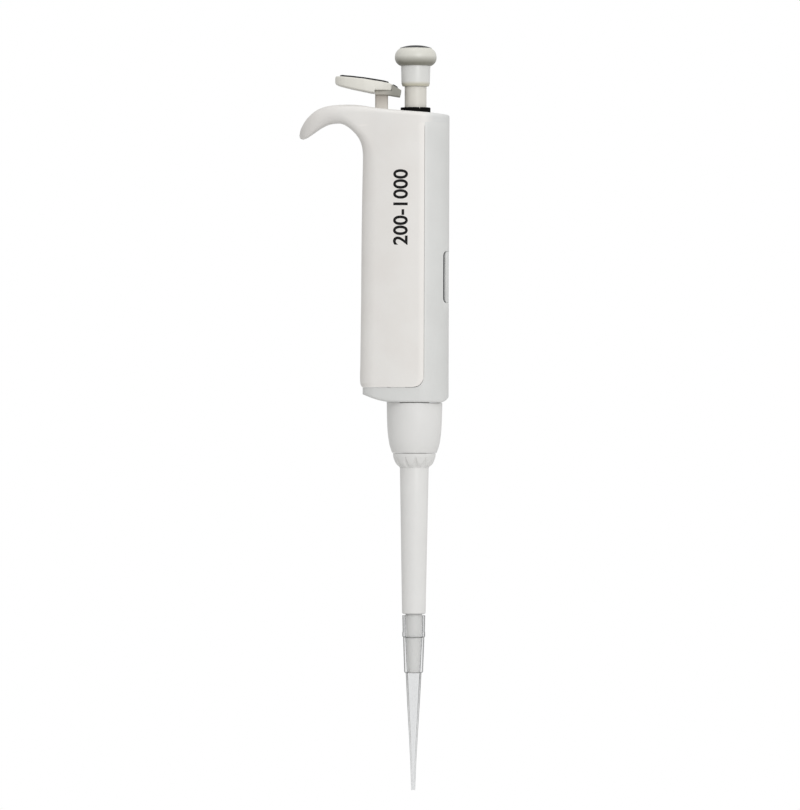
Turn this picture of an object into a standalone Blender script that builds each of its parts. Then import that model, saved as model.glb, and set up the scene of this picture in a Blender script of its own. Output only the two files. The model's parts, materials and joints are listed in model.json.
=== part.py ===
"""Adjustable air-displacement pipette with one fitted tip, as an assembly of separate pieces.

Metres, +Z up. The origin is the middle of the flat land under the finger hook, where the
pipette hangs on a stand. The plunger axis is vertical at x = AXIS_X. Every piece is placed
from that axis, through the empty "pipette", so x = 0 below means the plunger axis.
The counter's window faces +X and the hook points to -X. Rest is the smallest volume setting.
"""
import math

import bmesh
import bpy
from mathutils import Vector

# ---- driving dimensions ------------------------------------------------------------------
AXIS_X = 0.0312              # plunger axis from the middle of the hook's land
FRONT_X = 0.0137             # front wall of the handle
REAR_X = -0.0219             # rear wall of the handle
HALF_WIDTH = 0.0125          # half of the handle's width
SEAM_X = 0.0036              # where the rear shell meets the front housing
SEAM_TOP_Z = 0.0003          # underside of the shell's top cap at the front
SHELL_BOTTOM_Z = -0.1062
CHIN_BOTTOM_Z = -0.1123
FRONT_ARC_X = 0.0016         # centre of the round front in plan
REAR_CORNER_R = 0.0055
WALL = 0.0017
GAP = 0.0003                 # clearance between pieces that touch
STEP_INSET = 0.00045         # the front housing stands this much inside the shell

STEM_R = 0.0043              # plunger stem
COLLAR_R = 0.0058            # adjustment collar
BUTTON_R = 0.00845           # push button
PRESS_STROKE = 0.0084        # full stroke at the smallest setting, blow-out included
RING_TOP_Z = 0.0066          # top of the calibration nut
COLLAR_Z = RING_TOP_Z + PRESS_STROKE + 0.0002

SCREW_R = 0.0050             # micrometer screw, outside of the thread
SCREW_PITCH = 0.0022046      # 100 microlitres a turn with the piston below
SCREW_TOP_Z = -0.0270
THREAD_END_Z = -0.0610
SCREW_END_Z = -0.0900
ROD_R = 0.0020               # operating rod
PISTON_R = 0.0038

DRUM_R = 0.0096
DRUM_H = 0.0062
DRUM_PITCH = 0.0068
DRUM_TOP_Z = -0.0513
PINION_X, PINION_Y = -0.0103, 0.00595

EJECTOR_X = -0.0137          # ejector rod, behind the counter
EJECTOR_ROD_R = 0.0015

PLATE_TOP_Z = -0.1070        # base plate at the bottom of the handle
PLATE_T = 0.0020
NECK_R = 0.0060
NECK_END_Z = -0.1220

TONGUE_R = 0.0112            # outside of the cup's top and of the tongue that goes up from it
TONGUE_HALF_ANGLE = 57       # the tongue spans this much each side of -X
TONGUE_TOP_Z = -0.1063
SLEEVE_TOP_Z = -0.1389
SLEEVE_END_Z = -0.1971
SHAFT_END_Z = -0.2213
TIP_TOP_Z = -0.1981
TIP_END_Z = -0.2685

# ---- scene and materials -----------------------------------------------------------------
for old in list(bpy.data.objects):
    bpy.data.objects.remove(old, do_unlink=True)

parts = bpy.data.collections.new("pipette_parts")
cutters = bpy.data.collections.new("cutters")
bpy.context.scene.collection.children.link(parts)
bpy.context.scene.collection.children.link(cutters)


def make_material(name, color, roughness, metallic=0.0, alpha=1.0):
    material = bpy.data.materials.new(name)
    material.use_nodes = True
    shader = material.node_tree.nodes["Principled BSDF"]
    shader.inputs["Base Color"].default_value = (*color, 1.0)
    shader.inputs["Roughness"].default_value = roughness
    shader.inputs["Metallic"].default_value = metallic
    shader.inputs["Alpha"].default_value = alpha
    material.diffuse_color = (*color, alpha)
    return material


SHELL = make_material("shell_plastic", (0.74, 0.72, 0.68), 0.38)
FRONT = make_material("front_plastic", (0.68, 0.68, 0.66), 0.38)
BUTTON = make_material("button_plastic", (0.72, 0.71, 0.62), 0.35)
COLLAR = make_material("collar_plastic", (0.70, 0.71, 0.69), 0.30)
STEM = make_material("stem_plastic", (0.66, 0.62, 0.55), 0.40)
HUB = make_material("hub_plastic", (0.30, 0.29, 0.25), 0.45)
SLATE = make_material("slate_plastic", (0.07, 0.07, 0.08), 0.35)
BLACK = make_material("black_plastic", (0.01, 0.01, 0.01), 0.45)
LOWER = make_material("lower_plastic", (0.70, 0.70, 0.70), 0.35)
CLEAR = make_material("clear_window", (0.90, 0.92, 0.93), 0.05, alpha=0.35)
TIP_CLEAR = make_material("clear_tip", (0.85, 0.87, 0.88), 0.12, alpha=0.45)
DRUM = make_material("drum_plastic", (0.85, 0.85, 0.83), 0.50)
STEEL = make_material("steel", (0.55, 0.56, 0.58), 0.25, metallic=1.0)
BRASS = make_material("brass", (0.70, 0.52, 0.22), 0.30, metallic=1.0)
CHASSIS = make_material("chassis_plastic", (0.16, 0.17, 0.18), 0.55)
RUBBER = make_material("rubber", (0.03, 0.03, 0.03), 0.70)
SEAL = make_material("seal_plastic", (0.80, 0.80, 0.76), 0.50)


# ---- modelling helpers -------------------------------------------------------------------
def make_empty(name, location, parent=None):
    empty = bpy.data.objects.new(name, None)
    parts.objects.link(empty)
    empty.location = location
    empty.parent = parent
    return empty


pipette = make_empty("pipette", (AXIS_X, 0, 0))
ejector_line = make_empty("ejector_line", (EJECTOR_X, 0, 0), pipette)


def add_object(name, mesh, material, location=(0, 0, 0), parent=pipette):
    """A part when it has a material, a wire cutter when it has none."""
    body = bpy.data.objects.new(name, mesh)
    (parts if material else cutters).objects.link(body)
    body.location = location
    body.parent = parent
    if material:
        mesh.materials.append(material)
    else:
        body.hide_render = True
        body.display_type = "WIRE"
    return body


def boolean(body, cutter, operation="DIFFERENCE"):
    modifier = body.modifiers.new(f"{operation.lower()}_{cutter.name}", "BOOLEAN")
    modifier.operation = operation
    modifier.object = cutter
    modifier.solver = "EXACT"


def turned(name, profile, material, steps=24, location=(0, 0, 0), parent=pipette):
    """A turned piece. The profile is (radius, z) down the outside, then up the bore if it has one."""
    mesh = bpy.data.meshes.new(name)
    count = len(profile)
    hollow = profile[0][0] > 0
    edges = [(i, (i + 1) % count) for i in range(count if hollow else count - 1)]
    mesh.from_pydata([(r, 0, z) for r, z in profile], edges, [])
    body = add_object(name, mesh, material, location, parent)
    screw = body.modifiers.new("turn", "SCREW")
    screw.steps = screw.render_steps = steps
    screw.use_merge_vertices = True
    screw.merge_threshold = 0.00001
    screw.use_smooth_shade = True
    return body


def rod(name, radius, top, bottom, material, steps=12, location=(0, 0, 0), parent=pipette):
    return turned(name, [(0, top), (radius, top), (radius, bottom), (0, bottom)],
                  material, steps, location, parent)


def tube(name, outer, inner, top, bottom, material, steps=20):
    return turned(name, [(outer, top), (outer, bottom), (inner, bottom), (inner, top)], material, steps)


def box(name, low, high, material=None, parent=pipette):
    """A box between two corners."""
    mesh = bpy.data.meshes.new(name)
    block = bmesh.new()
    bmesh.ops.create_cube(block, size=1.0)
    size = Vector(high) - Vector(low)
    middle = (Vector(high) + Vector(low)) / 2
    for vertex in block.verts:
        vertex.co = Vector(vertex.co[i] * size[i] for i in range(3))
    block.to_mesh(mesh)
    block.free()
    return add_object(name, mesh, material, middle, parent)


def arc(center, radius, start, end, count):
    """Points along an arc, angles in degrees."""
    angles = [math.radians(start + (end - start) * i / (count - 1)) for i in range(count)]
    return [(center[0] + radius * math.cos(a), center[1] + radius * math.sin(a)) for a in angles]


def welded(curve_object, name, material, parent):
    """The closed mesh of a filled curve, with its caps welded on."""
    bpy.context.view_layer.update()
    evaluated = curve_object.evaluated_get(bpy.context.evaluated_depsgraph_get())
    mesh = bpy.data.meshes.new_from_object(evaluated)
    mesh.name = name
    mesh.materials.clear()
    weld = bmesh.new()
    weld.from_mesh(mesh)
    bmesh.ops.remove_doubles(weld, verts=weld.verts, dist=0.000002)
    bmesh.ops.dissolve_degenerate(weld, edges=weld.edges, dist=0.000002)
    bmesh.ops.recalc_face_normals(weld, faces=weld.faces)
    weld.to_mesh(mesh)
    weld.free()
    body = add_object(name, mesh, material, parent=parent)
    body.location = curve_object.location
    body.rotation_euler = curve_object.rotation_euler
    bpy.data.objects.remove(curve_object, do_unlink=True)
    return body


def outline(name, points, half_depth, side_view, smooth, resolution):
    """A filled 2D curve through the points, in the side view (x, z) or in plan (x, y)."""
    curve = bpy.data.curves.new(name + "_outline", "CURVE")
    curve.dimensions = "2D"
    curve.fill_mode = "BOTH"
    curve.extrude = half_depth
    curve.resolution_u = resolution
    curve.render_resolution_u = 0
    spline = curve.splines.new("BEZIER" if smooth else "POLY")
    if smooth:
        spline.bezier_points.add(len(points) - 1)
        for knot, (x, y, *corner) in zip(spline.bezier_points, points):
            knot.co = (x, y, 0)
            knot.handle_left_type = knot.handle_right_type = "VECTOR" if corner else "AUTO"
    else:
        spline.points.add(len(points) - 1)
        for knot, (x, y) in zip(spline.points, points):
            knot.co = (x, y, 0, 1)
    spline.use_cyclic_u = True
    body = bpy.data.objects.new(name + "_outline", curve)
    cutters.objects.link(body)
    if side_view:
        body.rotation_euler = (math.pi / 2, 0, 0)
    return body


def side_block(name, points, half_depth, material=None, parent=pipette, resolution=4):
    """Side-view outline of (x, z) points, extruded half_depth each way along Y. A third value
    marks a corner; the others are smooth."""
    curve = outline(name, points, half_depth, True, True, resolution)
    return welded(curve, name, material, parent)


def plan_block(name, points, bottom, top, material=None, parent=pipette, smooth=False):
    """Plan outline of (x, y) points between two heights."""
    curve = outline(name, points, (top - bottom) / 2, False, smooth, 4)
    curve.location = (0, 0, (top + bottom) / 2)
    return welded(curve, name, material, parent)


def cylinder_cut(name, radius, top, bottom, location=(0, 0, 0), parent=pipette, steps=24):
    return rod(name, radius, top, bottom, None, steps, location, parent)


def coil(name, radius, wire_r, top, bottom, turns, material, location=(0, 0, 0), parent=pipette):
    """A compression spring standing on Z."""
    per_turn = 8
    count = turns * per_turn + 1
    curve = bpy.data.curves.new(name, "CURVE")
    curve.dimensions = "3D"
    curve.bevel_depth = wire_r
    curve.bevel_resolution = 2
    curve.use_fill_caps = True
    spline = curve.splines.new("POLY")
    spline.points.add(count - 1)
    low, high = bottom + wire_r, top - wire_r
    for i, knot in enumerate(spline.points):
        turn = math.tau * i / per_turn
        height = low + (high - low) * i / (count - 1)
        knot.co = (radius * math.cos(turn), radius * math.sin(turn), height, 1)
    body = bpy.data.objects.new(name + "_wire", curve)
    cutters.objects.link(body)
    body.location = location
    return welded(body, name, material, parent)


# ---- outlines shared by the handle's pieces ----------------------------------------------
def body_plan(side_inset=0.0, rear_inset=0.0, front_inset=0.0):
    """Plan of the handle: round front, sides that narrow to the rear, round rear corners."""
    half = HALF_WIDTH - side_inset
    rear = REAR_X + rear_inset
    radius = REAR_CORNER_R - max(side_inset, rear_inset)
    corner = (rear + radius, half * 0.835 - radius)
    right = [(FRONT_ARC_X + (FRONT_X - front_inset - FRONT_ARC_X) * math.sin(math.radians(a)),
              half * math.cos(math.radians(a))) for a in range(90, -1, -10)]
    side = [(x, half * (1 - 0.28 * ((FRONT_ARC_X - x) / 0.0235) ** 2)) for x in (-0.003, -0.0075, -0.012)]
    left = arc(corner, radius, 102, 180, 6)
    upper = right + side + left
    return upper + [(x, -y) for x, y in reversed(upper[1:])]


def seam(offset):
    """Side-view line where the rear shell meets the front housing, from the bottom rear to the top
    front, moved to the rear and up by offset."""
    x, low, high = SEAM_X - offset, SHELL_BOTTOM_Z + offset, SEAM_TOP_Z + offset
    return [(-0.0010, low, "corner"), (x - 0.0014, low + 0.0010), (x, low + 0.0030),
            (x, high - 0.0020), (x + 0.0006, high - 0.0005), (x + 0.0022, high, "corner")]


TOP_LINE = [(0.0145, 0.0026, "corner"), (0.0136, 0.0031), (0.0128, 0.0036), (0.0064, 0.0047),
            (-0.0056, 0.0053), (-0.0111, 0.0059), (-0.0162, 0.0064)]


def wedge(name, half_angle):
    """Cutter: the sector of half_angle degrees each side of -X, for the cup's tongue."""
    reach = 0.0200
    side = reach * math.tan(math.radians(half_angle))
    return plan_block(name, [(0, 0), (-reach, side), (-reach, -side)], -0.1300, -0.0900)


# ---- handle ------------------------------------------------------------------------------
def build_handle_shell():
    """Rear shell, slanted top cap and finger hook in one moulding."""
    side = [(-0.0230, SHELL_BOTTOM_Z + 0.0030, "corner"), (-0.0218, SHELL_BOTTOM_Z + 0.0012),
            (-0.0206, SHELL_BOTTOM_Z, "corner")]
    side += seam(0.0)
    side += [(0.0145, SEAM_TOP_Z, "corner")]
    side += TOP_LINE
    side += [(-0.0230, 0.0074, "corner")]
    shell = side_block("handle_shell", side, 0.014, SHELL)
    plan = plan_block("shell_plan", body_plan(), -0.112, 0.012)
    boolean(shell, plan, "INTERSECT")

    hook_side = [(-0.0140, 0.0061, "corner"), (-0.0216, 0.0073), (-0.0274, 0.0080), (-0.0343, 0.0076),
                 (-0.0391, 0.0063), (-0.0423, 0.0039), (-0.0451, 0.0006), (-0.0465, -0.0025),
                 (-0.0467, -0.0052), (-0.0455, -0.0065), (-0.0439, -0.0058), (-0.0411, -0.0042),
                 (-0.0375, -0.0018), (-0.0350, -0.0006), (-0.0326, 0.0, "corner"),
                 (-0.0298, 0.0, "corner"), (-0.0279, -0.0009), (-0.0258, -0.0026),
                 (-0.0242, -0.0042), (-0.0226, -0.0066), (-0.0218, -0.0098), (-0.0215, -0.0126, "corner"),
                 (-0.0140, -0.0126, "corner")]
    hook = side_block("hook_side", hook_side, 0.014)
    hook_half = [(-0.0120, 0.0098), (-0.0210, 0.0095), (-0.0300, 0.0088), (-0.0390, 0.0076),
                 (-0.0440, 0.0056), (-0.0463, 0.0030)]
    hook_plan = plan_block("hook_plan", hook_half + [(-0.0468, 0.0)] + [(x, -y) for x, y in reversed(hook_half)],
                           -0.03, 0.012)
    boolean(hook, hook_plan, "INTERSECT")
    boolean(shell, hook, "UNION")

    inner_side = [(-0.0260, -0.1200, "corner"), (0.0120, -0.1200, "corner"),
                  (0.0140, 0.0010, "corner"), (0.0060, 0.0028, "corner"),
                  (-0.0056, 0.0035, "corner"), (-0.0160, 0.0043, "corner"), (-0.0260, 0.0043, "corner")]
    cavity = side_block("shell_cavity", inner_side, 0.014)
    boolean(cavity, plan_block("shell_inner_plan", body_plan(WALL, WALL, WALL), -0.119, 0.0115), "INTERSECT")
    boolean(shell, cavity)

    boolean(shell, cylinder_cut("plunger_hole", 0.0058, 0.0100, 0.0015))
    boolean(shell, cylinder_cut("ring_seat", 0.0064, 0.0100, 0.0047))
    boolean(shell, box("ejector_slot", (EJECTOR_X - 0.0029, -0.0038, 0.0020),
                       (EJECTOR_X + 0.0029, 0.0038, 0.0090)))


def build_front_housing():
    """Front wall and chin, one moulding, with the window opening and the holes in its floor."""
    chin = [(0.0145, -0.1060, "corner"), (0.0138, -0.1104), (0.0128, -0.1116), (0.0108, CHIN_BOTTOM_Z, "corner"),
            (-0.0080, CHIN_BOTTOM_Z, "corner"), (-0.0120, -0.1119), (-0.0158, -0.1110), (-0.0185, -0.1099),
            (-0.0212, -0.1088, "corner"), (-0.0212, SHELL_BOTTOM_Z - GAP, "corner")]
    side = chin + seam(-GAP) + [(0.0145, SEAM_TOP_Z - GAP, "corner")]
    housing = side_block("front_housing", side, 0.014, FRONT)
    boolean(housing, plan_block("housing_plan", body_plan(STEP_INSET, 0.0010, 0.0), -0.1150, 0.0050), "INTERSECT")

    inner_side = [(-0.0250, 0.0080, "corner"), (-0.0250, -0.1080, "corner"), (-0.0185, -0.1082, "corner"),
                  (-0.0150, -0.1094, "corner"), (-0.0110, -0.1103, "corner"), (0.0108, -0.1105, "corner"),
                  (0.0125, -0.1095, "corner"), (0.0125, 0.0080, "corner")]
    cavity = side_block("housing_cavity", inner_side, 0.014)
    inset = STEP_INSET + WALL
    boolean(cavity, plan_block("housing_inner_plan", body_plan(inset, 0.0026, 0.0016), -0.1145, 0.0075), "INTERSECT")
    boolean(housing, cavity)
    boolean(housing, box("window_opening", (0.0070, -0.0068, -0.0720), (0.0160, 0.0068, -0.0513)))
    boolean(housing, cylinder_cut("neck_hole", NECK_R + 0.0004, -0.1080, -0.1150))
    slot = tube("tongue_slot", TONGUE_R + GAP, TONGUE_R - 0.0015, -0.1080, -0.1150, None, 32)
    boolean(slot, wedge("slot_wedge", TONGUE_HALF_ANGLE + 2), "INTERSECT")
    boolean(housing, slot)
    for i, (x, y) in enumerate(BASE_SCREWS):
        boolean(housing, cylinder_cut(f"floor_hole_{i + 1}", 0.0013, -0.1080, -0.1119, (x, y, 0), steps=16))


def build_window():
    """Clear pane, curved like the front wall, a little below its surface."""
    pane = tube("display_window", 0.01175, 0.01075, -0.0516, -0.0717, CLEAR, 64)
    pane.location = (FRONT_ARC_X, 0, 0)
    boolean(pane, box("pane_width", (0.0060, -0.0065, -0.0800), (0.0200, 0.0065, -0.0450)), "INTERSECT")


def build_calibration_nut():
    """Black ring in the handle's top that guides the stem, with two key slots."""
    nut = turned("calibration_nut", [(0.0056, RING_TOP_Z), (0.00605, 0.0062), (0.00605, 0.0050),
                                     (0.0054, 0.0050), (0.0054, -0.0060), (STEM_R + GAP, -0.0060),
                                     (STEM_R + GAP, RING_TOP_Z)], BLACK, 28)
    slot = box("key_slots", (-0.0080, -0.0006, 0.0058), (0.0080, 0.0006, 0.0080))
    slot.rotation_euler = (0, 0, math.radians(-72))
    boolean(nut, slot)


# ---- plunger -----------------------------------------------------------------------------
def build_plunger():
    """Push button, its dark cap, the adjustment collar, the stem and the rod that runs down to the piston."""
    button_z = 0.0238
    middle, bulge = button_z + 0.0031, 0.0031
    rim = arc((BUTTON_R - bulge, middle), bulge, 70, -75, 8)
    turned("push_button",
           [(0, 0.0309), (0.0063, 0.0309), (0.0063, 0.0314)] + rim
           + [(0.0058, button_z), (ROD_R + GAP, button_z), (ROD_R + GAP, 0.0283), (0, 0.0283)], BUTTON, 28)
    dome = [(0.0062 * i / 4, 0.0321 - 0.0011 * (i / 4) ** 2) for i in range(5)]
    turned("button_cap", dome + [(0.0062 - 0.0002, 0.0309 + GAP / 2), (0, 0.0309 + GAP / 2)], SLATE, 28)
    turned("adjustment_collar",
           [(COLLAR_R, button_z - GAP), (COLLAR_R, COLLAR_Z + 0.0008), (COLLAR_R - 0.0003, COLLAR_Z),
            (STEM_R + GAP, COLLAR_Z), (STEM_R + GAP, 0.0224), (ROD_R + GAP, 0.0224),
            (ROD_R + GAP, button_z - GAP)], COLLAR, 28)
    tube("plunger_stem", STEM_R, ROD_R + GAP, 0.0221, -0.0170, STEM, 24)

    shaft_rod = rod("operating_rod", ROD_R, 0.0280, -0.0915, STEEL)
    hex_length = box("rod_hex_zone", (-0.005, -0.005, -0.0918), (0.005, 0.005, THREAD_END_Z))
    hexagon = rod("rod_hexagon", 0.00215, 0.0400, -0.1000, None, 6)
    boolean(hex_length, hexagon)
    boolean(shaft_rod, hex_length)


def build_piston():
    """Disc that the rod presses, and the polished piston below it."""
    turned("piston_disc", [(0, -0.0918), (0.0065, -0.0918), (0.0065, -0.0940), (0.0025, -0.0940),
                           (0.0025, -0.1037), (0, -0.1037)], SEAL, 24)
    turned("piston", [(0, -0.1040), (PISTON_R - 0.0003, -0.1040), (PISTON_R, -0.1043),
                      (PISTON_R, -0.1446), (PISTON_R - 0.0004, -0.1450), (0, -0.1450)], STEEL, 24)
    coil("piston_spring", 0.0047, 0.00035, -0.0943, PLATE_TOP_Z + GAP, 6, STEEL)
    tube("blowout_ring", 0.0083, 0.0056, -0.0984, -0.0999, BRASS, 24)
    coil("blowout_spring", 0.0066, 0.00045, -0.1002, PLATE_TOP_Z + GAP, 3, STEEL)


# ---- volume setting ----------------------------------------------------------------------
def build_micrometer():
    """Screw that sets the stroke, its nut, and the washer that the piston stops on."""
    profile = [(SCREW_R - 0.0006, SCREW_TOP_Z)]
    z = SCREW_TOP_Z - 0.0006
    while z - SCREW_PITCH > THREAD_END_Z:
        profile += [(SCREW_R, z), (SCREW_R - 0.0006, z - SCREW_PITCH / 2)]
        z -= SCREW_PITCH
    profile += [(SCREW_R, THREAD_END_Z), (SCREW_R, SCREW_END_Z), (ROD_R + GAP, SCREW_END_Z),
                (ROD_R + GAP, SCREW_TOP_Z)]
    screw = turned("micrometer_screw", profile, STEEL, 12)
    flats = box("drive_flats", (-0.0070, -0.0070, -0.0950), (0.0070, 0.0070, THREAD_END_Z))
    boolean(flats, box("drive_core", (-0.0080, -0.0043, -0.0960), (0.0080, 0.0043, -0.0500)))
    boolean(screw, flats)
    tube("stop_washer", 0.0070, ROD_R + 0.0004, SCREW_END_Z - GAP, SCREW_END_Z - 0.0015, BRASS, 24)
    nut = tube("thread_nut", 0.0088, SCREW_R + GAP, -0.0300, -0.0420, BRASS, 24)
    boolean(nut, box("nut_flat", (-0.0120, -0.0090, -0.0450), (-0.0078, 0.0090, -0.0250)))


def build_chassis():
    """Frame that holds the nut and the counter, and guides the ejector rod."""
    front = arc((0, 0), 0.0097, 75, -75, 16)
    rear = [(-0.0060, -0.0093), (-0.0122, -0.0090), (-0.0170, -0.0055), (-0.0170, 0.0055),
            (-0.0122, 0.0090), (-0.0060, 0.0093)]
    chassis = plan_block("chassis", front + rear, -0.0748, -0.0423, CHASSIS)
    boolean(chassis, box("counter_space", (-0.0200, -0.00815, -0.0732), (0.0120, 0.00815, -0.0439)))
    boolean(chassis, box("chassis_front", (-0.0086, -0.0120, -0.0732), (0.0130, 0.0120, -0.0439)))
    boolean(chassis, cylinder_cut("screw_hole", 0.0056, -0.0400, -0.0780))
    boolean(chassis, cylinder_cut("washer_room", 0.0074, -0.0725, -0.0780))
    boolean(chassis, cylinder_cut("rod_guide", 0.0018, -0.0400, -0.0780, parent=ejector_line, steps=16))


def build_counter():
    """Three digit drums on the screw's axis, and two transfer pinions on their own axle."""
    for i, name in enumerate(("drum_thousands", "drum_hundreds", "drum_tens")):
        top = DRUM_TOP_Z - i * DRUM_PITCH
        low = top - DRUM_H
        turned(name, [(DRUM_R, top), (DRUM_R, low + 0.0016), (DRUM_R - 0.0006, low + 0.0012),
                      (DRUM_R - 0.0006, low), (0.0053, low), (0.0053, top)], DRUM, 28)
    gear = [(0.0019 if i % 4 < 2 else 0.0013, math.tau * i / 32) for i in range(32)]
    teeth = [(r * math.cos(a), r * math.sin(a)) for r, a in gear]
    for i in range(2):
        top = DRUM_TOP_Z - DRUM_H + 0.0021 - i * DRUM_PITCH
        pinion = plan_block(f"transfer_pinion_{i + 1}", teeth, top - 0.0056, top, SEAL)
        pinion.location += Vector((PINION_X, PINION_Y, 0))
        boolean(pinion, cylinder_cut(f"pinion_bore_{i + 1}", 0.0007, -0.04, -0.08,
                                     (PINION_X, PINION_Y, 0), steps=16))
    rod("pinion_axle", 0.00045, -0.0442, -0.0729, STEEL, 12, (PINION_X, PINION_Y, 0))


# ---- lower end ---------------------------------------------------------------------------
BASE_SCREWS = [(0.0074, 0.0062), (0.0074, -0.0062), (-0.0015, 0.0085), (-0.0015, -0.0085)]


def build_base():
    """Plate in the bottom of the handle with the neck that carries the shaft, and its four screws."""
    base = turned("base_plate", [(0.0098, PLATE_TOP_Z), (0.0098, PLATE_TOP_Z - PLATE_T),
                                 (NECK_R, PLATE_TOP_Z - PLATE_T), (NECK_R, NECK_END_Z), (0.0053, NECK_END_Z),
                                 (0.0053, -0.1160), (0.0042, -0.1160), (0.0042, PLATE_TOP_Z)], LOWER, 24)
    half = [(0.0097, 0.0060), (0.0087, 0.0070), (0.0070, 0.0084), (0.0040, 0.0098), (-0.0040, 0.0098)]
    wings = plan_block("plate_wings", half + [(x, -y) for x, y in reversed(half)],
                       PLATE_TOP_Z - PLATE_T + 0.0001, PLATE_TOP_Z - 0.0001)
    boolean(wings, cylinder_cut("wing_hole", 0.0050, -0.1, -0.12))
    boolean(base, wings, "UNION")
    for i, (x, y) in enumerate(BASE_SCREWS):
        boolean(base, cylinder_cut(f"plate_hole_{i + 1}", 0.0014, -0.1050, -0.1120, (x, y, 0), steps=16))
        turned(f"base_screw_{i + 1}", [(0, -0.1052), (0.0012, -0.1052), (0.0015, -0.1056), (0.0015, -0.1067),
                                       (0.0011, -0.1067), (0.0011, -0.1116), (0, -0.1116)],
               STEEL, 12, (x, y, 0))


def build_shaft():
    """Fixed shaft with its tip cone, the nut that holds it, and the seals round the piston."""
    turned("shaft", [(0.0058, -0.1223), (0.0058, -0.1243), (0.0049, -0.1243), (0.0046, -0.1540),
                     (0.0034, -0.1970), (0.0023, SHAFT_END_Z), (0.0014, SHAFT_END_Z), (0.0021, -0.1900),
                     (0.00395, -0.1570), (0.00395, -0.1223)], LOWER, 24)
    turned("shaft_nut", [(0.0080, -0.1170), (0.0080, -0.1260), (0.0070, -0.1275), (0.0052, -0.1275),
                         (0.0052, -0.1246), (NECK_R + GAP, -0.1246), (NECK_R + GAP, -0.1170)], LOWER, 24)
    tube("seal_retainer", 0.0050, 0.0041, -0.1163, -0.1173, STEEL, 24)
    ring = [(0.0045 + x, -0.1186 + z) for x, z in arc((0, 0), 0.00048, 90, -210, 6)]
    turned("piston_o_ring", ring, RUBBER, 20)
    tube("piston_seal", 0.0050, 0.0040, -0.1199, -0.1219, SEAL, 24)


def build_tip():
    """Disposable tip: a collar with a bead, a step, and a long hollow cone with a bevelled end."""
    outer = [(0.00453, TIP_TOP_Z), (0.00440, -0.2052), (0.00452, -0.2056), (0.00452, -0.2064),
             (0.00422, -0.2068), (0.00355, -0.2211), (0.00300, -0.2214), (0.00256, -0.2318),
             (0.00180, -0.2470), (0.00065, TIP_END_Z)]
    inner = [(0.00035, TIP_END_Z), (0.00125, -0.2470), (0.00200, -0.2318), (0.00250, -0.2222),
             (0.00262, -0.2206), (0.00368, TIP_TOP_Z)]
    turned("tip", outer + inner, TIP_CLEAR, 24)


# ---- ejector -----------------------------------------------------------------------------
def build_ejector_top():
    """Thumb pad, its dark inlay, the hub beside the plunger, and the stem."""
    pad = side_block("ejector_button", [
        (-0.0324, 0.0170), (-0.0319, 0.0188), (-0.0300, 0.0193, "corner"), (-0.0190, 0.0184),
        (-0.0112, 0.0167, "corner"), (-0.0096, 0.0153, "corner"), (-0.0116, 0.0120, "corner"),
        (-0.0162, 0.0123, "corner"), (-0.0318, 0.0161, "corner")], 0.010, BUTTON, resolution=3)
    half = [(-0.0100, 0.0055), (-0.0150, 0.0068), (-0.0210, 0.0073), (-0.0270, 0.0066), (-0.0310, 0.0042)]
    pad_plan = plan_block("pad_plan", [(-0.0090, 0.0)] + half + [(-0.0326, 0.0)]
                          + [(x, -y) for x, y in reversed(half)], 0.005, 0.025, smooth=True)
    boolean(pad, pad_plan, "INTERSECT")
    inlay = side_block("ejector_button_inlay", [
        (-0.0300, 0.01965, "corner"), (-0.0298, 0.0199, "corner"), (-0.0190, 0.0190),
        (-0.0116, 0.01735, "corner"), (-0.0116, 0.0171, "corner"), (-0.0190, 0.01872)],
        0.008, SLATE, resolution=3)
    inlay_half = [(-0.0125, 0.0028), (-0.0160, 0.0046), (-0.0210, 0.0052), (-0.0260, 0.0044), (-0.0290, 0.0024)]
    boolean(inlay, plan_block("inlay_plan", [(-0.0114, 0.0)] + inlay_half + [(-0.0302, 0.0)]
                              + [(x, -y) for x, y in reversed(inlay_half)], 0.005, 0.025, smooth=True), "INTERSECT")

    hub = side_block("ejector_hub", [
        (-0.0092, 0.0152, "corner"), (-0.0076, 0.0144, "corner"), (-0.0064, 0.0137), (-0.0063, 0.0120),
        (-0.0066, 0.0108, "corner"), (-0.0112, 0.0115, "corner"), (-0.0112, 0.0119, "corner")],
        0.0048, HUB, resolution=3)
    boolean(hub, cylinder_cut("collar_room", COLLAR_R + 0.0005, 0.0300, 0.0000))
    hub_inlay = box("ejector_hub_inlay", (-0.0009, -0.0018, 0.0), (0.0009, 0.0018, 0.0005), SLATE)
    hub_inlay.location = (-0.0083, 0, 0.01525)
    hub_inlay.rotation_euler = (0, math.radians(26.6), 0)

    stem = box("ejector_stem", (EJECTOR_X - 0.0026, -0.0035, -0.0080), (EJECTOR_X + 0.0026, 0.0035, 0.0160), STEM)
    under = side_block("stem_top_cut", [
        (-0.0112, 0.0112, "corner"), (-0.0114, 0.0117, "corner"), (-0.0162, 0.0120, "corner"),
        (-0.0200, 0.0129, "corner"), (-0.0200, 0.0300, "corner"), (-0.0050, 0.0300, "corner"),
        (-0.0050, 0.0102, "corner")], 0.010)
    boolean(stem, under)
    bevel = stem.modifiers.new("soft_edges", "BEVEL")
    bevel.width = 0.0004
    bevel.segments = 1
    bevel.limit_method = "ANGLE"
    bevel.angle_limit = math.radians(60)


def build_ejector_rod():
    """Rod from the stem down behind the counter, with its return spring."""
    rod("ejector_rod", EJECTOR_ROD_R, -0.0083, -0.0982, STEEL, 16, parent=ejector_line)
    coil("ejector_spring", 0.0024, 0.0003, -0.0083, -0.0420, 8, STEEL, (EJECTOR_X, 0, 0))


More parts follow.
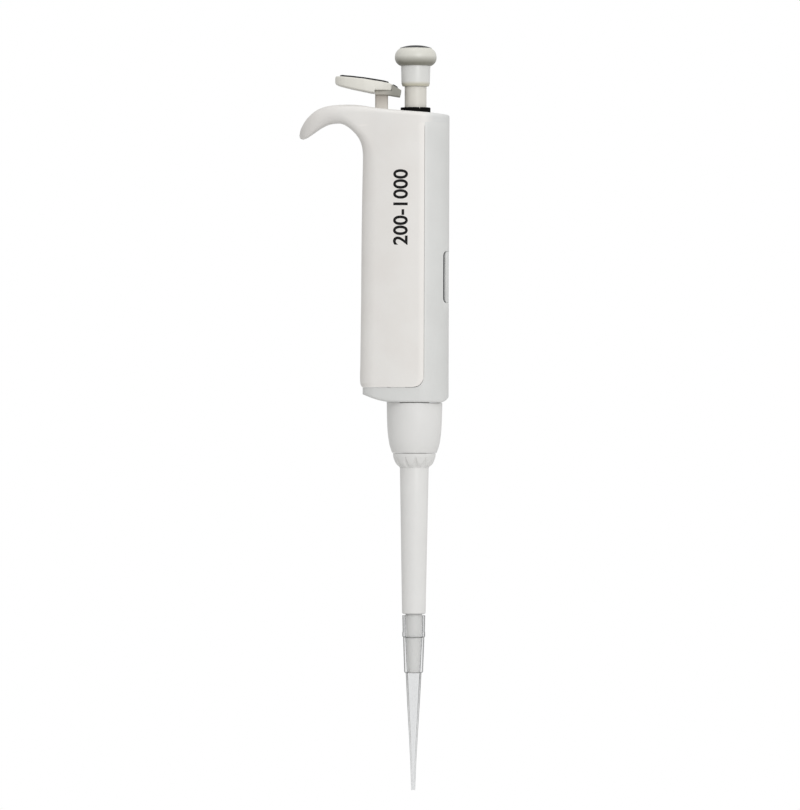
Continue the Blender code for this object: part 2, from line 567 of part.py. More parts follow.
def build_ejector_end():
    """Cup with its tongue and arm, the notched ring and the tapered sleeve."""
    cup = turned("ejector_cup", [(TONGUE_R, -0.1126), (TONGUE_R, -0.1136), (0.0110, -0.1180),
                                 (0.01086, -0.1230), (0.01026, -0.1274), (0.0094, -0.1314), (0.0086, -0.1327), (0.0062, -0.1327), (0.0074, -0.1310),
                                 (0.0088, -0.1274), (0.0095, -0.1220), (0.0095, -0.1126)], LOWER, 32)
    tongue = tube("cup_tongue", TONGUE_R - 0.0001, TONGUE_R - 0.0012, TONGUE_TOP_Z, -0.1132, None, 32)
    boolean(tongue, wedge("tongue_wedge", TONGUE_HALF_ANGLE), "INTERSECT")
    boolean(cup, tongue, "UNION")
    arm = side_block("cup_arm", [
        (EJECTOR_X - 0.0021, -0.0985, "corner"), (-0.0090, -0.0985, "corner"), (-0.0090, -0.1011, "corner"),
        (-0.0101, -0.1013, "corner"), (-0.0101, -0.1100, "corner"), (-0.01095, -0.1100, "corner"),
        (-0.01095, -0.1015, "corner"), (EJECTOR_X - 0.0021, -0.1015, "corner")], 0.0030, resolution=1)
    boolean(cup, arm, "UNION")
    ring = turned("ejector_ring", [(0.00856, -0.1330), (0.0084, -0.1346), (0.0076, -0.1362), (0.0064, -0.1380),
                                   (0.0058, -0.1386), (0.0053, -0.1386), (0.0053, -0.1350), (0.0062, -0.1330)],
                  LOWER, 36)
    for i in range(12):
        notch = turned(f"notch_{i + 1}", [(0, -0.1342), (0.0007, -0.1348), (0.0009, -0.1390), (0, -0.1390)],
                       None, 4)
        turn = math.radians(30 * i + 4)
        notch.location = (0.0084 * math.sin(turn), -0.0084 * math.cos(turn), 0)
        notch.rotation_euler = (0, 0, turn)
        boolean(ring, notch)
    turned("ejector_sleeve", [(0.00578, SLEEVE_TOP_Z), (0.00472, SLEEVE_END_Z + 0.0003),
                              (0.00445, SLEEVE_END_Z), (0.0039, SLEEVE_END_Z), (0.0052, SLEEVE_TOP_Z)], LOWER, 28)


build_handle_shell()
build_front_housing()
build_window()
build_calibration_nut()
build_plunger()
build_piston()
build_micrometer()
build_chassis()
build_counter()
build_base()
build_shaft()
build_tip()
build_ejector_top()
build_ejector_rod()
build_ejector_end()
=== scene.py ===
"""Looks of the adjustable pipette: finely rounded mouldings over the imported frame, procedural
materials, studio light and camera.

Shapes are given in millimetres from the plunger axis at the height of the hook's land, x towards
the counter's window, and are placed on the axis found in the frame.
"""
import json
import math

import bmesh
import bpy
import numpy as np
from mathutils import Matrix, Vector


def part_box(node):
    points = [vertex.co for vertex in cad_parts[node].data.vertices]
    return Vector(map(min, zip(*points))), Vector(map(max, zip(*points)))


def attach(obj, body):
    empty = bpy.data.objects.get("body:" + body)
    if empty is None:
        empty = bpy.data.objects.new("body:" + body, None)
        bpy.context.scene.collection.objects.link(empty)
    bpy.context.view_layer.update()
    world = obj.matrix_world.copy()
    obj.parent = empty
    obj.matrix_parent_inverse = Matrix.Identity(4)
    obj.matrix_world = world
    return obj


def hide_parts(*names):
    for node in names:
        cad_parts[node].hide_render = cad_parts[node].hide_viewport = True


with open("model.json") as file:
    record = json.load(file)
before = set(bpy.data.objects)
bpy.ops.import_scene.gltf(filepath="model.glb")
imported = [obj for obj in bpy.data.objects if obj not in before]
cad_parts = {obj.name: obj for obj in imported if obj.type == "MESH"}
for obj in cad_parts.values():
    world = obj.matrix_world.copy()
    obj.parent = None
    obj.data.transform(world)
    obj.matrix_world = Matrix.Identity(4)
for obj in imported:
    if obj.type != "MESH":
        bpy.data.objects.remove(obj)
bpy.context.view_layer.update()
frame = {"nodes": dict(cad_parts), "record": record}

MM = 0.001
low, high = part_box("plunger_stem")
AXIS = Vector(((low[0] + high[0]) / 2, (low[1] + high[1]) / 2, 0.0))
low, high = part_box("handle_shell")
HALF_WIDTH = (high[1] - low[1]) / 2 / MM
FRONT_X = (high[0] - AXIS.x) / MM
SHELL_BOTTOM = low[2] / MM

FRONT_ARC_X = 1.6            # centre of the round front in plan
CHIN_REAR_X = -20.9
HOOK_TIP_X = -46.9
LAND_X = -29.8               # front end of the flat land under the hook
SEAM_X = 3.6
SEAM_CORNER = SHELL_BOTTOM + 5.0    # height where the seam's lower corner ends
SEAM_GAP = 0.12
CAP_RIM = 0.30               # height of the edge where the cap meets the front housing
CAP_RIM_RUN = 1.4            # the edge reaches that height this far in front of the seam
CAP_GAP = 0.02
STEP = 0.45                  # the front housing stands this much inside the shell
SHELL_WALL = 1.2
FRONT_WALL = 1.4
POST_X = -13.7               # centre of the ejector's post
SHARP = math.radians(38)


# ---- materials ---------------------------------------------------------------------------
def shader_of(name):
    material = bpy.data.materials.new(name)
    material.use_nodes = True
    return material, material.node_tree, material.node_tree.nodes["Principled BSDF"]


def noise(tree, scale, detail=2.0, stretch=(1, 1, 1)):
    """Noise in object space; scale is in features per metre."""
    coords = tree.nodes.new("ShaderNodeTexCoord")
    mapping = tree.nodes.new("ShaderNodeMapping")
    mapping.inputs["Scale"].default_value = stretch
    texture = tree.nodes.new("ShaderNodeTexNoise")
    texture.inputs["Scale"].default_value = scale
    texture.inputs["Detail"].default_value = detail
    tree.links.new(coords.outputs["Object"], mapping.inputs["Vector"])
    tree.links.new(mapping.outputs["Vector"], texture.inputs["Vector"])
    return texture.outputs["Fac"]


def spread(tree, value, low, high, start=0.3, end=0.7):
    """Maps a value onto a range."""
    node = tree.nodes.new("ShaderNodeMapRange")
    node.inputs["From Min"].default_value = start
    node.inputs["From Max"].default_value = end
    node.inputs["To Min"].default_value = low
    node.inputs["To Max"].default_value = high
    tree.links.new(value, node.inputs["Value"])
    return node.outputs["Result"]


def blend_colors(tree, fac, first, second):
    node = tree.nodes.new("ShaderNodeMix")
    node.data_type = "RGBA"
    for socket, color in ((node.inputs[6], first), (node.inputs[7], second)):
        if isinstance(color, tuple):
            socket.default_value = (*color, 1.0)
        else:
            tree.links.new(color, socket)
    tree.links.new(fac, node.inputs[0])
    return node.outputs[2]


def shade(color, factor):
    return tuple(min(1.0, c * factor) for c in color)


def plastic(name, color, roughness=0.4, tint=None, grain=0.06, grain_scale=2600, wear=1.06, shine=0.5):
    """Injection-moulded plastic: faint cloudy tint, spark-eroded grain, and slightly polished edges."""
    material, tree, shader = shader_of(name)
    clouds = spread(tree, noise(tree, 70, 4.0), 0.0, 1.0)
    body = blend_colors(tree, clouds, shade(color, 0.975), tint or shade(color, 1.02))
    specks = spread(tree, noise(tree, 900, 3.0), 0.0, 0.35, 0.62, 0.85)
    body = blend_colors(tree, specks, body, shade(color, 0.90))
    geometry = tree.nodes.new("ShaderNodeNewGeometry")
    edge = spread(tree, geometry.outputs["Pointiness"], 0.0, 0.7, 0.52, 0.60)
    tree.links.new(blend_colors(tree, edge, body, shade(color, wear)), shader.inputs["Base Color"])
    polish = spread(tree, noise(tree, 220, 5.0), roughness - 0.05, roughness + 0.06)
    tree.links.new(polish, shader.inputs["Roughness"])
    bump = tree.nodes.new("ShaderNodeBump")
    bump.inputs["Strength"].default_value = grain
    bump.inputs["Distance"].default_value = 0.00005
    tree.links.new(noise(tree, grain_scale, 2.0), bump.inputs["Height"])
    tree.links.new(bump.outputs["Normal"], shader.inputs["Normal"])
    shader.inputs["IOR"].default_value = 1.49
    shader.inputs["Specular IOR Level"].default_value = shine
    return material


def gradient(material, axis, start, end, factor):
    """Multiplies a plastic's colour by factor past end and fades that out back to start, both in metres
    along an axis of object space."""
    tree = material.node_tree
    shader = tree.nodes["Principled BSDF"]
    source = shader.inputs["Base Color"].links[0].from_socket
    coords = tree.nodes.new("ShaderNodeTexCoord")
    split = tree.nodes.new("ShaderNodeSeparateXYZ")
    tree.links.new(coords.outputs["Object"], split.inputs["Vector"])
    share = spread(tree, split.outputs[axis], 0.0, 1.0, start, end)
    tone = blend_colors(tree, share, (1.0, 1.0, 1.0), factor)
    product = tree.nodes.new("ShaderNodeMix")
    product.data_type = "RGBA"
    product.blend_type = "MULTIPLY"
    product.inputs[0].default_value = 1.0
    tree.links.new(source, product.inputs[6])
    tree.links.new(tone, product.inputs[7])
    tree.links.new(product.outputs[2], shader.inputs["Base Color"])
    return material


def metal(name, color, roughness, stretch=(1, 1, 90), scale=400):
    """Turned metal with fine tool marks round the axis and small scuffs."""
    material, tree, shader = shader_of(name)
    marks = noise(tree, scale, 4.0, stretch)
    scuffs = spread(tree, noise(tree, 700, 5.0), 0.0, 1.0, 0.45, 0.75)
    tree.links.new(blend_colors(tree, scuffs, color, shade(color, 0.82)), shader.inputs["Base Color"])
    tree.links.new(spread(tree, marks, roughness - 0.06, roughness + 0.12), shader.inputs["Roughness"])
    bump = tree.nodes.new("ShaderNodeBump")
    bump.inputs["Strength"].default_value = 0.15
    bump.inputs["Distance"].default_value = 0.00003
    tree.links.new(marks, bump.inputs["Height"])
    tree.links.new(bump.outputs["Normal"], shader.inputs["Normal"])
    shader.inputs["Metallic"].default_value = 1.0
    return material


def thin_clear(name, color, haze, rim, start=0.32, end=0.80, shine=0.2, steps=()):
    """Thin clear wall: faintly hazy face on, grey seen edge on, with flow lines. steps are rings of painted
    shade, bands where the wall is drawn darker: height and half height in millimetres, and strength."""
    material, tree, shader = shader_of(name)
    flow = noise(tree, 500, 4.0, (1, 1, 0.12))
    tree.links.new(blend_colors(tree, spread(tree, flow, 0.0, 1.0), shade(color, 0.85), color),
                   shader.inputs["Base Color"])
    tree.links.new(spread(tree, flow, 0.12, 0.26), shader.inputs["Roughness"])
    shader.inputs["Specular IOR Level"].default_value = shine
    open_wall = tree.nodes.new("ShaderNodeBsdfTransparent")
    open_wall.inputs["Color"].default_value = (0.985, 0.987, 0.988, 1.0)
    slope = tree.nodes.new("ShaderNodeLayerWeight")
    slope.inputs["Blend"].default_value = 0.5
    mix = tree.nodes.new("ShaderNodeMixShader")
    wall = spread(tree, slope.outputs["Facing"], haze, rim, start, end)
    coords = tree.nodes.new("ShaderNodeTexCoord")
    split = tree.nodes.new("ShaderNodeSeparateXYZ")
    tree.links.new(coords.outputs["Object"], split.inputs["Vector"])
    # painted shade: each ring raises the wall's grey share within a band of heights
    for height, half, strength in steps:
        ring = tree.nodes.new("ShaderNodeMath")
        ring.operation = "COMPARE"
        tree.links.new(split.outputs["Z"], ring.inputs[0])
        ring.inputs[1].default_value = height * MM
        ring.inputs[2].default_value = half * MM
        shown = tree.nodes.new("ShaderNodeMath")
        shown.operation = "MULTIPLY"
        tree.links.new(ring.outputs[0], shown.inputs[0])
        shown.inputs[1].default_value = strength
        darker = tree.nodes.new("ShaderNodeMath")
        darker.operation = "MAXIMUM"
        tree.links.new(wall, darker.inputs[0])
        tree.links.new(shown.outputs[0], darker.inputs[1])
        wall = darker.outputs[0]
    tree.links.new(wall, mix.inputs["Fac"])
    tree.links.new(open_wall.outputs["BSDF"], mix.inputs[1])
    tree.links.new(shader.outputs["BSDF"], mix.inputs[2])
    tree.links.new(mix.outputs["Shader"], tree.nodes["Material Output"].inputs["Surface"])
    return material


SHELL = gradient(plastic("shell_satin_painted_shade", (0.740, 0.715, 0.690), 0.38, (0.750, 0.735, 0.715)),
                 "X", AXIS.x + 0.0036, AXIS.x + 0.0074, (0.870, 0.895, 0.915))
LOOKS = {
    # painted shade: the shell darkens towards the hook, from 20 mm behind the axis on, for the shade that
    # falls on the hook
    "shell_plastic": gradient(SHELL, "X", AXIS.x - 0.020, AXIS.x - 0.036, (0.90, 0.90, 0.90)),
    "front_plastic": plastic("front_satin", (0.640, 0.643, 0.634), 0.38),
    "button_plastic": plastic("button_satin", (0.690, 0.675, 0.620), 0.36, (0.705, 0.690, 0.640)),
    # painted shade: the collar turns darker and warmer towards its foot, where it stands over the ejector
    "collar_plastic": gradient(plastic("collar_satin_painted_shade", (0.690, 0.690, 0.672), 0.30),
                               "Z", 0.0170, 0.0156, (0.79, 0.755, 0.63)),
    "stem_plastic": plastic("stem_satin", (0.660, 0.640, 0.590), 0.42),
    "hub_plastic": gradient(plastic("hub_matt", (0.420, 0.400, 0.355), 0.50, grain=0.12),
                            "X", AXIS.x - 0.0125, AXIS.x - 0.0092, (0.610, 0.630, 0.620)),
    "slate_plastic": plastic("slate_satin", (0.024, 0.025, 0.027), 0.45, wear=1.5, shine=0.12),
    "black_plastic": plastic("black_satin", (0.004, 0.004, 0.004), 0.60, wear=1.5, shine=0.03),
    "lower_plastic": plastic("lower_satin", (0.720, 0.715, 0.705), 0.33),
    "drum_plastic": plastic("drum_matt", (0.800, 0.795, 0.770), 0.50),
    "chassis_plastic": plastic("chassis_matt", (0.060, 0.063, 0.068), 0.55, grain=0.20, wear=1.3),
    "rubber": plastic("nitrile", (0.020, 0.020, 0.021), 0.70, grain=0.25, wear=1.2),
    "seal_plastic": plastic("seal_waxy", (0.760, 0.755, 0.715), 0.48),
    "steel": metal("turned_steel", (0.560, 0.565, 0.580), 0.24),
    "brass": metal("turned_brass", (0.720, 0.540, 0.250), 0.28),
    "clear_window": thin_clear("window_clear", (0.740, 0.742, 0.735), 0.05, 0.94, 0.30, 0.52, 0.5),
    # painted shade: dark rings at the foot of the bead and at the step, and a faint darker band over the
    # lower tip
    "clear_tip": thin_clear("tip_clear", (0.200, 0.202, 0.204), 0.025, 0.94, 0.40, 0.84,
                            steps=((-206.95, 0.22, 0.5), (-221.2, 0.2, 0.35), (-246.0, 24.5, 0.075))),
}
INK = plastic("digit_ink", (0.018, 0.018, 0.020), 0.45, wear=1.4)
# painted shadow: a darker copy of the stem's plastic for the ejector's post, darker still towards its top
# under the pad
POST = gradient(plastic("post_satin_painted_shadow", (0.580, 0.545, 0.500), 0.45),
                "Z", 0.0062, 0.0112, (0.66, 0.64, 0.61))
# painted shade: the knob darkens strongly below its widest part, down to the collar
KNOB = gradient(plastic("knob_satin_painted_shade", (0.640, 0.632, 0.575), 0.36, (0.655, 0.645, 0.595)),
                "Z", 0.0272, 0.0243, (0.36, 0.355, 0.320))
PRINT = plastic("print_ink", (0.006, 0.006, 0.006), 0.50, wear=1.4, shine=0.15)

for entry in frame["record"]["subparts"]:
    node = frame["nodes"][entry["node"]]
    for material_slot in node.material_slots:
        material_slot.material = LOOKS[entry["material_slot"]]


# ---- mesh helpers ------------------------------------------------------------------------
def drop(distance, radius):
    """How far an edge rounded with that radius has fallen at a distance inside the outline."""
    inside = np.clip(radius - distance, 0.0, radius)
    return radius - np.sqrt(radius ** 2 - inside ** 2)


def smooth_curve(points, step=0.25):
    """Dense points on a smooth curve through the given ones. Further columns are carried along."""
    points = np.array(points, dtype=float)
    lengths = np.concatenate([[0.0], np.cumsum(np.linalg.norm(np.diff(points[:, :2], axis=0), axis=1))])
    slopes = np.gradient(points, lengths, axis=0)
    at = np.linspace(0.0, lengths[-1], int(lengths[-1] / step) + 2)
    index = np.clip(np.searchsorted(lengths, at, side="right") - 1, 0, len(points) - 2)
    span = (lengths[index + 1] - lengths[index])[:, None]
    t = ((at - lengths[index]) / span[:, 0])[:, None]
    return ((2 * t ** 3 - 3 * t ** 2 + 1) * points[index]
            + (t ** 3 - 2 * t ** 2 + t) * span * slopes[index]
            + (3 * t ** 2 - 2 * t ** 3) * points[index + 1]
            + (t ** 3 - t ** 2) * span * slopes[index + 1])


def read_curve(curve, at, column=0):
    """The other coordinate of a curve where its given column reaches a value."""
    order = np.argsort(curve[:, column])
    return np.interp(at, curve[order, column], curve[order, 1 - column])


def nearest(x, z, curve):
    """Distance of each point from a curve, and the curve's third column there."""
    start, end = curve[:-1], curve[1:]
    points = np.stack([x.ravel(), z.ravel()], axis=1)[:, None, :]
    along = (end - start)[None, :, :2]
    reach = ((points - start[None, :, :2]) * along).sum(2)
    t = np.clip(reach / np.maximum((along ** 2).sum(2), 1e-12), 0.0, 1.0)
    gap = np.linalg.norm(start[None, :, :2] + t[..., None] * along - points, axis=2)
    best = gap.argmin(1)
    row = np.arange(len(best))
    value = start[best, 2] + t[row, best] * (end[best, 2] - start[best, 2])
    return gap[row, best].reshape(x.shape), value.reshape(x.shape)


def eased(count, start, end, low=True, high=True):
    """Values from start to end that crowd towards the chosen ends."""
    t = np.linspace(0.0, 1.0, count)
    if low and high:
        t = (1 - np.cos(math.pi * t)) / 2
    elif low:
        t = 1 - np.cos(math.pi / 2 * t)
    elif high:
        t = np.sin(math.pi / 2 * t)
    return start + (end - start) * t


class Skin:
    """Collects patches of points in millimetres and welds them into one mesh."""

    def __init__(self):
        self.points, self.faces = [], []

    def patch(self, grid, ring=False):
        rows, cols = grid.shape[:2]
        base = len(self.points)
        self.points += [tuple(p) for p in grid.reshape(-1, 3)]
        for i in range(rows - 1):
            for j in range(cols if ring else cols - 1):
                k = (j + 1) % cols
                self.faces.append((base + i * cols + j, base + i * cols + k,
                                   base + (i + 1) * cols + k, base + (i + 1) * cols + j))

    def both_sides(self, x, y, z):
        self.patch(np.stack([x, y, z], axis=-1))
        self.patch(np.stack([x, -y, z], axis=-1))

    def across(self, x, y, z, count=9):
        """A strip from +y to -y along a line of points."""
        share = np.linspace(1.0, -1.0, count)[None, :]
        x, y, z = x[:, None] + 0 * share, y[:, None] * share, z[:, None] + 0 * share
        self.patch(np.stack([x, y, z], axis=-1))

    def build(self, name, outward=None):
        """The welded object. outward is (point, direction) of a face that must look that way."""
        mesh = bpy.data.meshes.new(name)
        placed = [(AXIS.x + x * MM, AXIS.y + y * MM, z * MM) for x, y, z in self.points]
        mesh.from_pydata(placed, [], self.faces)
        weld = bmesh.new()
        weld.from_mesh(mesh)
        bmesh.ops.remove_doubles(weld, verts=weld.verts, dist=0.0000015)
        bmesh.ops.dissolve_degenerate(weld, edges=weld.edges, dist=0.0000005)
        bmesh.ops.recalc_face_normals(weld, faces=weld.faces)
        if outward:
            target = AXIS + Vector(outward[0]) * MM
            face = min(weld.faces, key=lambda f: (f.calc_center_median() - target).length)
            if face.normal.dot(Vector(outward[1])) < 0:
                bmesh.ops.reverse_faces(weld, faces=weld.faces)
        weld.to_mesh(mesh)
        weld.free()
        piece = bpy.data.objects.new(name, mesh)
        bpy.context.scene.collection.objects.link(piece)
        return piece


def cut(piece, cutter, operation="DIFFERENCE"):
    modifier = piece.modifiers.new(cutter.name, "BOOLEAN")
    modifier.operation = operation
    modifier.object = cutter
    modifier.solver = "EXACT"


def soften(piece, width, segments=2, angle=50, keep=None):
    """Rounds the sharp edges, except where keep(point in millimetres from the axis) is true."""
    work = bmesh.new()
    work.from_mesh(piece.data)
    weights = work.edges.layers.float.new("bevel_weight_edge")
    for edge in work.edges:
        middle = ((edge.verts[0].co + edge.verts[1].co) / 2 - AXIS) / MM
        if edge.calc_face_angle(0.0) > math.radians(angle) and not (keep and keep(middle)):
            edge[weights] = 1.0
    work.to_mesh(piece.data)
    work.free()
    modifier = piece.modifiers.new("soften", "BEVEL")
    modifier.width = width * MM
    modifier.segments = segments
    modifier.limit_method = "WEIGHT"
    modifier.use_clamp_overlap = True


def cap_joint(point):
    """True on the edges where the cap and the front housing meet."""
    return point.x > SEAM_X + 0.3 and -0.2 < point.z < 0.5


def settle(piece, cutters=()):
    """Applies the modifiers and removes the cutters."""
    if piece.modifiers:
        bpy.context.view_layer.update()
        evaluated = piece.evaluated_get(bpy.context.evaluated_depsgraph_get())
        mesh = bpy.data.meshes.new_from_object(evaluated)
        piece.modifiers.clear()
        piece.data = mesh
    for cutter in cutters:
        bpy.data.objects.remove(cutter, do_unlink=True)
    return piece


def dress(piece, slot, body, *nodes, material=None):
    """Smooth shading, material, and the piece's place in the frame."""
    piece.data.materials.clear()
    piece.data.materials.append(material or LOOKS[slot])
    piece.data.polygons.foreach_set("use_smooth", [True] * len(piece.data.polygons))
    piece.data.set_sharp_from_angle(angle=SHARP)
    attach(piece, body)
    if nodes:
        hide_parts(*nodes)
    return piece


def filleted(points, segments=5):
    """A profile whose points may carry a fillet radius as a third value."""
    result = []
    count = len(points)
    for i, (r, z, *fillet) in enumerate(points):
        if not fillet:
            result.append((r, z))
            continue
        here = Vector((r, z))
        before = (Vector(points[(i - 1) % count][:2]) - here).normalized()
        after = (Vector(points[(i + 1) % count][:2]) - here).normalized()
        half = before.angle(after) / 2
        reach = fillet[0] / math.tan(half)
        center = here + (before + after).normalized() * fillet[0] / math.sin(half)
        first, last = here + before * reach - center, here + after * reach - center
        turn = math.atan2(first.x * last.y - first.y * last.x, first.dot(last))
        for k in range(segments + 1):
            a = turn * k / segments
            result.append((center.x + first.x * math.cos(a) - first.y * math.sin(a),
                           center.y + first.x * math.sin(a) + first.y * math.cos(a)))
    return result


def lathe(name, profile, steps=120, reshape=None, center=(0.0, 0.0)):
    """A turned solid. The profile goes down the outside and, if hollow, up the bore. reshape gives a
    new radius from the radius, the height and the angle in degrees from -Y."""
    profile = np.array(filleted(profile))
    hollow = profile[0, 0] > 0
    if hollow:
        profile = np.vstack([profile, profile[:1]])
    turn = np.arange(steps) * math.tau / steps
    radius = np.repeat(profile[:, :1], steps, axis=1)
    height = np.repeat(profile[:, 1:], steps, axis=1)
    if reshape:
        radius = reshape(radius, height, np.degrees(turn)[None, :])
    x, y = center[0] + radius * np.sin(turn), center[1] - radius * np.cos(turn)
    skin = Skin()
    skin.patch(np.stack([x, y, height], axis=-1), ring=True)
    return skin.build(name)


def loft(name, sections):
    """A solid through closed sections with the same number of points, capped at both ends."""
    grid = np.array(sections)
    skin = Skin()
    skin.patch(grid, ring=True)
    for end in (grid[0], grid[-1]):
        middle = np.repeat(end.mean(axis=0)[None, :], len(end), axis=0)
        skin.patch(np.stack([end, middle]), ring=True)
    return skin.build(name)


def rounded_loop(half_a, half_b, radius, segments=6):
    """Points round a rounded rectangle."""
    radius = min(radius, half_a - 0.001, half_b - 0.001)
    flat_a, flat_b = half_a - radius, half_b - radius
    points = []
    for quarter, (sa, sb) in enumerate(((1, 1), (-1, 1), (-1, -1), (1, -1))):
        for k in range(segments + 1):
            a = math.pi / 2 * (quarter + k / segments)
            points.append((sa * flat_a + radius * math.cos(a), sb * flat_b + radius * math.sin(a)))
    return points


def rounded_bar(name, stations, radius, end_steps=5, slant=0.0):
    """A bar along x. Stations are (x, half width, bottom, top); edges and ends are rounded. slant leans
    the far end, in millimetres along x for each one up."""
    stations = np.array(stations, dtype=float)
    start, end = stations[0, 0], stations[-1, 0]
    quarter = np.linspace(0.0, math.pi / 2, end_steps + 1)
    between = np.arange(start + radius + 0.4, end - radius - 0.2, 0.4)
    steps = stations[1:-1, 0][np.diff(stations[:, 0])[1:] < 0.2]
    steps = np.concatenate([steps, steps + 0.1])
    steps = steps[(steps > start + radius) & (steps < end - radius)]
    if len(steps):
        clear = np.abs(between[:, None] - steps).min(1) > 0.12
        between = np.sort(np.concatenate([between[clear], steps]))
    rounded = radius * (1 - np.cos(quarter))
    xs = np.concatenate([start + rounded, between, end - rounded[::-1]])
    middle = stations[-1, 2:].mean()
    sections = []
    for x in xs:
        inset = float(drop(np.array(min(x - start, end - x)), radius)) * 0.98
        width, bottom, top = (np.interp(x, stations[:, 0], stations[:, k]) for k in (1, 2, 3))
        half_y, half_z = max(width - inset, 0.02), max((top - bottom) / 2 - inset, 0.02)
        lean = slant * ((x - start) / (end - start)) ** 4
        center = (top + bottom) / 2
        loop = rounded_loop(half_y, half_z, radius)
        sections.append([(x + lean * (center + z - middle), y, center + z) for y, z in loop])
    return loft(name, sections)


def prism(name, loop, bottom, top):
    """Cutter over a plan loop between two heights."""
    return loft(name, [[(x, y, z) for x, y in loop] for z in (bottom, top)])


def drill(name, radius, top, bottom, steps=96, center=(0.0, 0.0)):
    """Round upright cutter."""
    return lathe(name, [(0, top), (radius, top), (radius, bottom), (0, bottom)], steps, center=center)


def hollow_out(housing, thickness, edge, cutters):
    """Gives an open skin its wall inwards, makes the openings and rounds the edges."""
    wall = housing.modifiers.new("wall", "SOLIDIFY")
    wall.thickness = thickness * MM
    wall.offset = -1.0
    for cutter in cutters:
        cut(housing, cutter)
    settle(housing, cutters)
    soften(housing, edge, keep=cap_joint)
    settle(housing)


# ---- handle ------------------------------------------------------------------------------
# Outline of the rear shell in the side view: x, z, radius of the rounded edge there.
UNDERSIDE = smooth_curve([
    (-20.5, -108.5, 4.5), (-20.7, -107.0, 4.7), (-21.28, -106.0, 5.0), (-21.8, -105.1, 5.3),
    (-21.92, -103.9, 5.5), (-21.88, -97.0, 5.5), (-21.8, -87.0, 5.5), (-21.66, -71.0, 5.5),
    (-21.58, -51.0, 5.5), (-21.4, -31.0, 5.5), (-21.2, -20.0, 5.4), (-21.12, -15.5, 5.2),
    (-21.15, -12.5, 4.7), (-21.45, -9.8, 4.1), (-22.35, -6.8, 3.3), (-24.1, -4.1, 2.6),
    (-25.8, -2.4, 2.5), (-27.8, -0.9, 2.7), (LAND_X, 0.0, 3.0), (-32.6, 0.0, 3.3), (-35.0, -0.5, 3.4),
    (-37.5, -1.7, 3.3), (-41.1, -4.15, 2.8), (-43.9, -6.0, 2.5), (-45.5, -6.5, 2.4),
    (-46.4, -6.1, 2.5), (-46.75, -5.0, 2.5)])
TOP = smooth_curve([
    (-46.75, -5.0, 2.5), (-46.5, -3.7, 2.6), (-46.2, -2.6, 2.6), (-45.3, -0.75, 2.7), (-43.9, 1.4, 3.0),
    (-42.3, 3.1, 3.2), (-40.5, 4.6, 3.4), (-38.9, 5.5, 3.5), (-36.6, 6.4, 3.5), (-34.1, 6.9, 3.5),
    (-30.8, 7.2, 3.4), (-27.0, 7.3, 3.3), (-24.0, 7.2, 3.0), (-21.6, 6.95, 2.8), (-18.8, 6.5, 2.4),
    (-16.2, 6.1, 2.2), (-11.1, 5.5, 1.9), (-5.6, 4.98, 1.7), (0.4, 4.55, 1.6), (6.4, 4.1, 1.6),
    (10.5, 3.72, 1.5), (12.4, 3.5, 1.4), (13.2, 3.32, 1.3), (13.58, 3.0, 1.2), (13.7, 2.6, 1.2)])
WIDTH = smooth_curve([       # half width in plan, from the tip of the hook to the round front
    (HOOK_TIP_X, 6.3), (-43.0, 6.9), (-39.0, 7.5), (-34.0, 8.15), (-30.0, 8.5), (-26.0, 8.8),
    (-21.9, 9.2), (-18.0, 9.85), (-14.0, 10.8), (-9.0, 11.75), (-4.0, 12.3), (FRONT_ARC_X, 12.5)])
HOOK_ROUND_X = -39.0         # the hook is rounded in plan from here to its tip
SEAM_CURVE = smooth_curve([(-1.0, SHELL_BOTTOM), (1.0, SHELL_BOTTOM + 0.35), (2.5, SHELL_BOTTOM + 1.5),
                           (3.35, SHELL_BOTTOM + 3.0), (SEAM_X, SEAM_CORNER)])


def half_width(x, half=HALF_WIDTH):
    """Half of the handle's width at x, before the edges are rounded."""
    front = half * np.sqrt(np.clip(1 - ((x - FRONT_ARC_X) / (FRONT_X - FRONT_ARC_X)) ** 2, 0.0, 1.0))
    rear = np.interp(x, WIDTH[:, 0], WIDTH[:, 1]) - (HALF_WIDTH - half)
    past = np.clip(HOOK_ROUND_X - x, 0.0, None) / (HOOK_ROUND_X - HOOK_TIP_X)
    tip = np.sqrt(np.clip(1 - past ** 2, 0.0, 1.0))
    return np.where(x > FRONT_ARC_X, front, rear * tip)


ROUNDING = 9.0               # rounded edges are full size where the half width is this much


def shell_side(x, z):
    """y of the rear shell's surface."""
    under, under_radius = nearest(x, z, UNDERSIDE)
    above, above_radius = nearest(x, z, TOP)
    return (half_width(x) * (1 - drop(under, under_radius) / ROUNDING)
            * (1 - drop(above, above_radius) / ROUNDING))


def cap_edge(run):
    """Height of the cap's lower edge at a distance in front of the seam."""
    return CAP_RIM * np.clip(run / CAP_RIM_RUN, 0.0, 1.0) ** 0.5


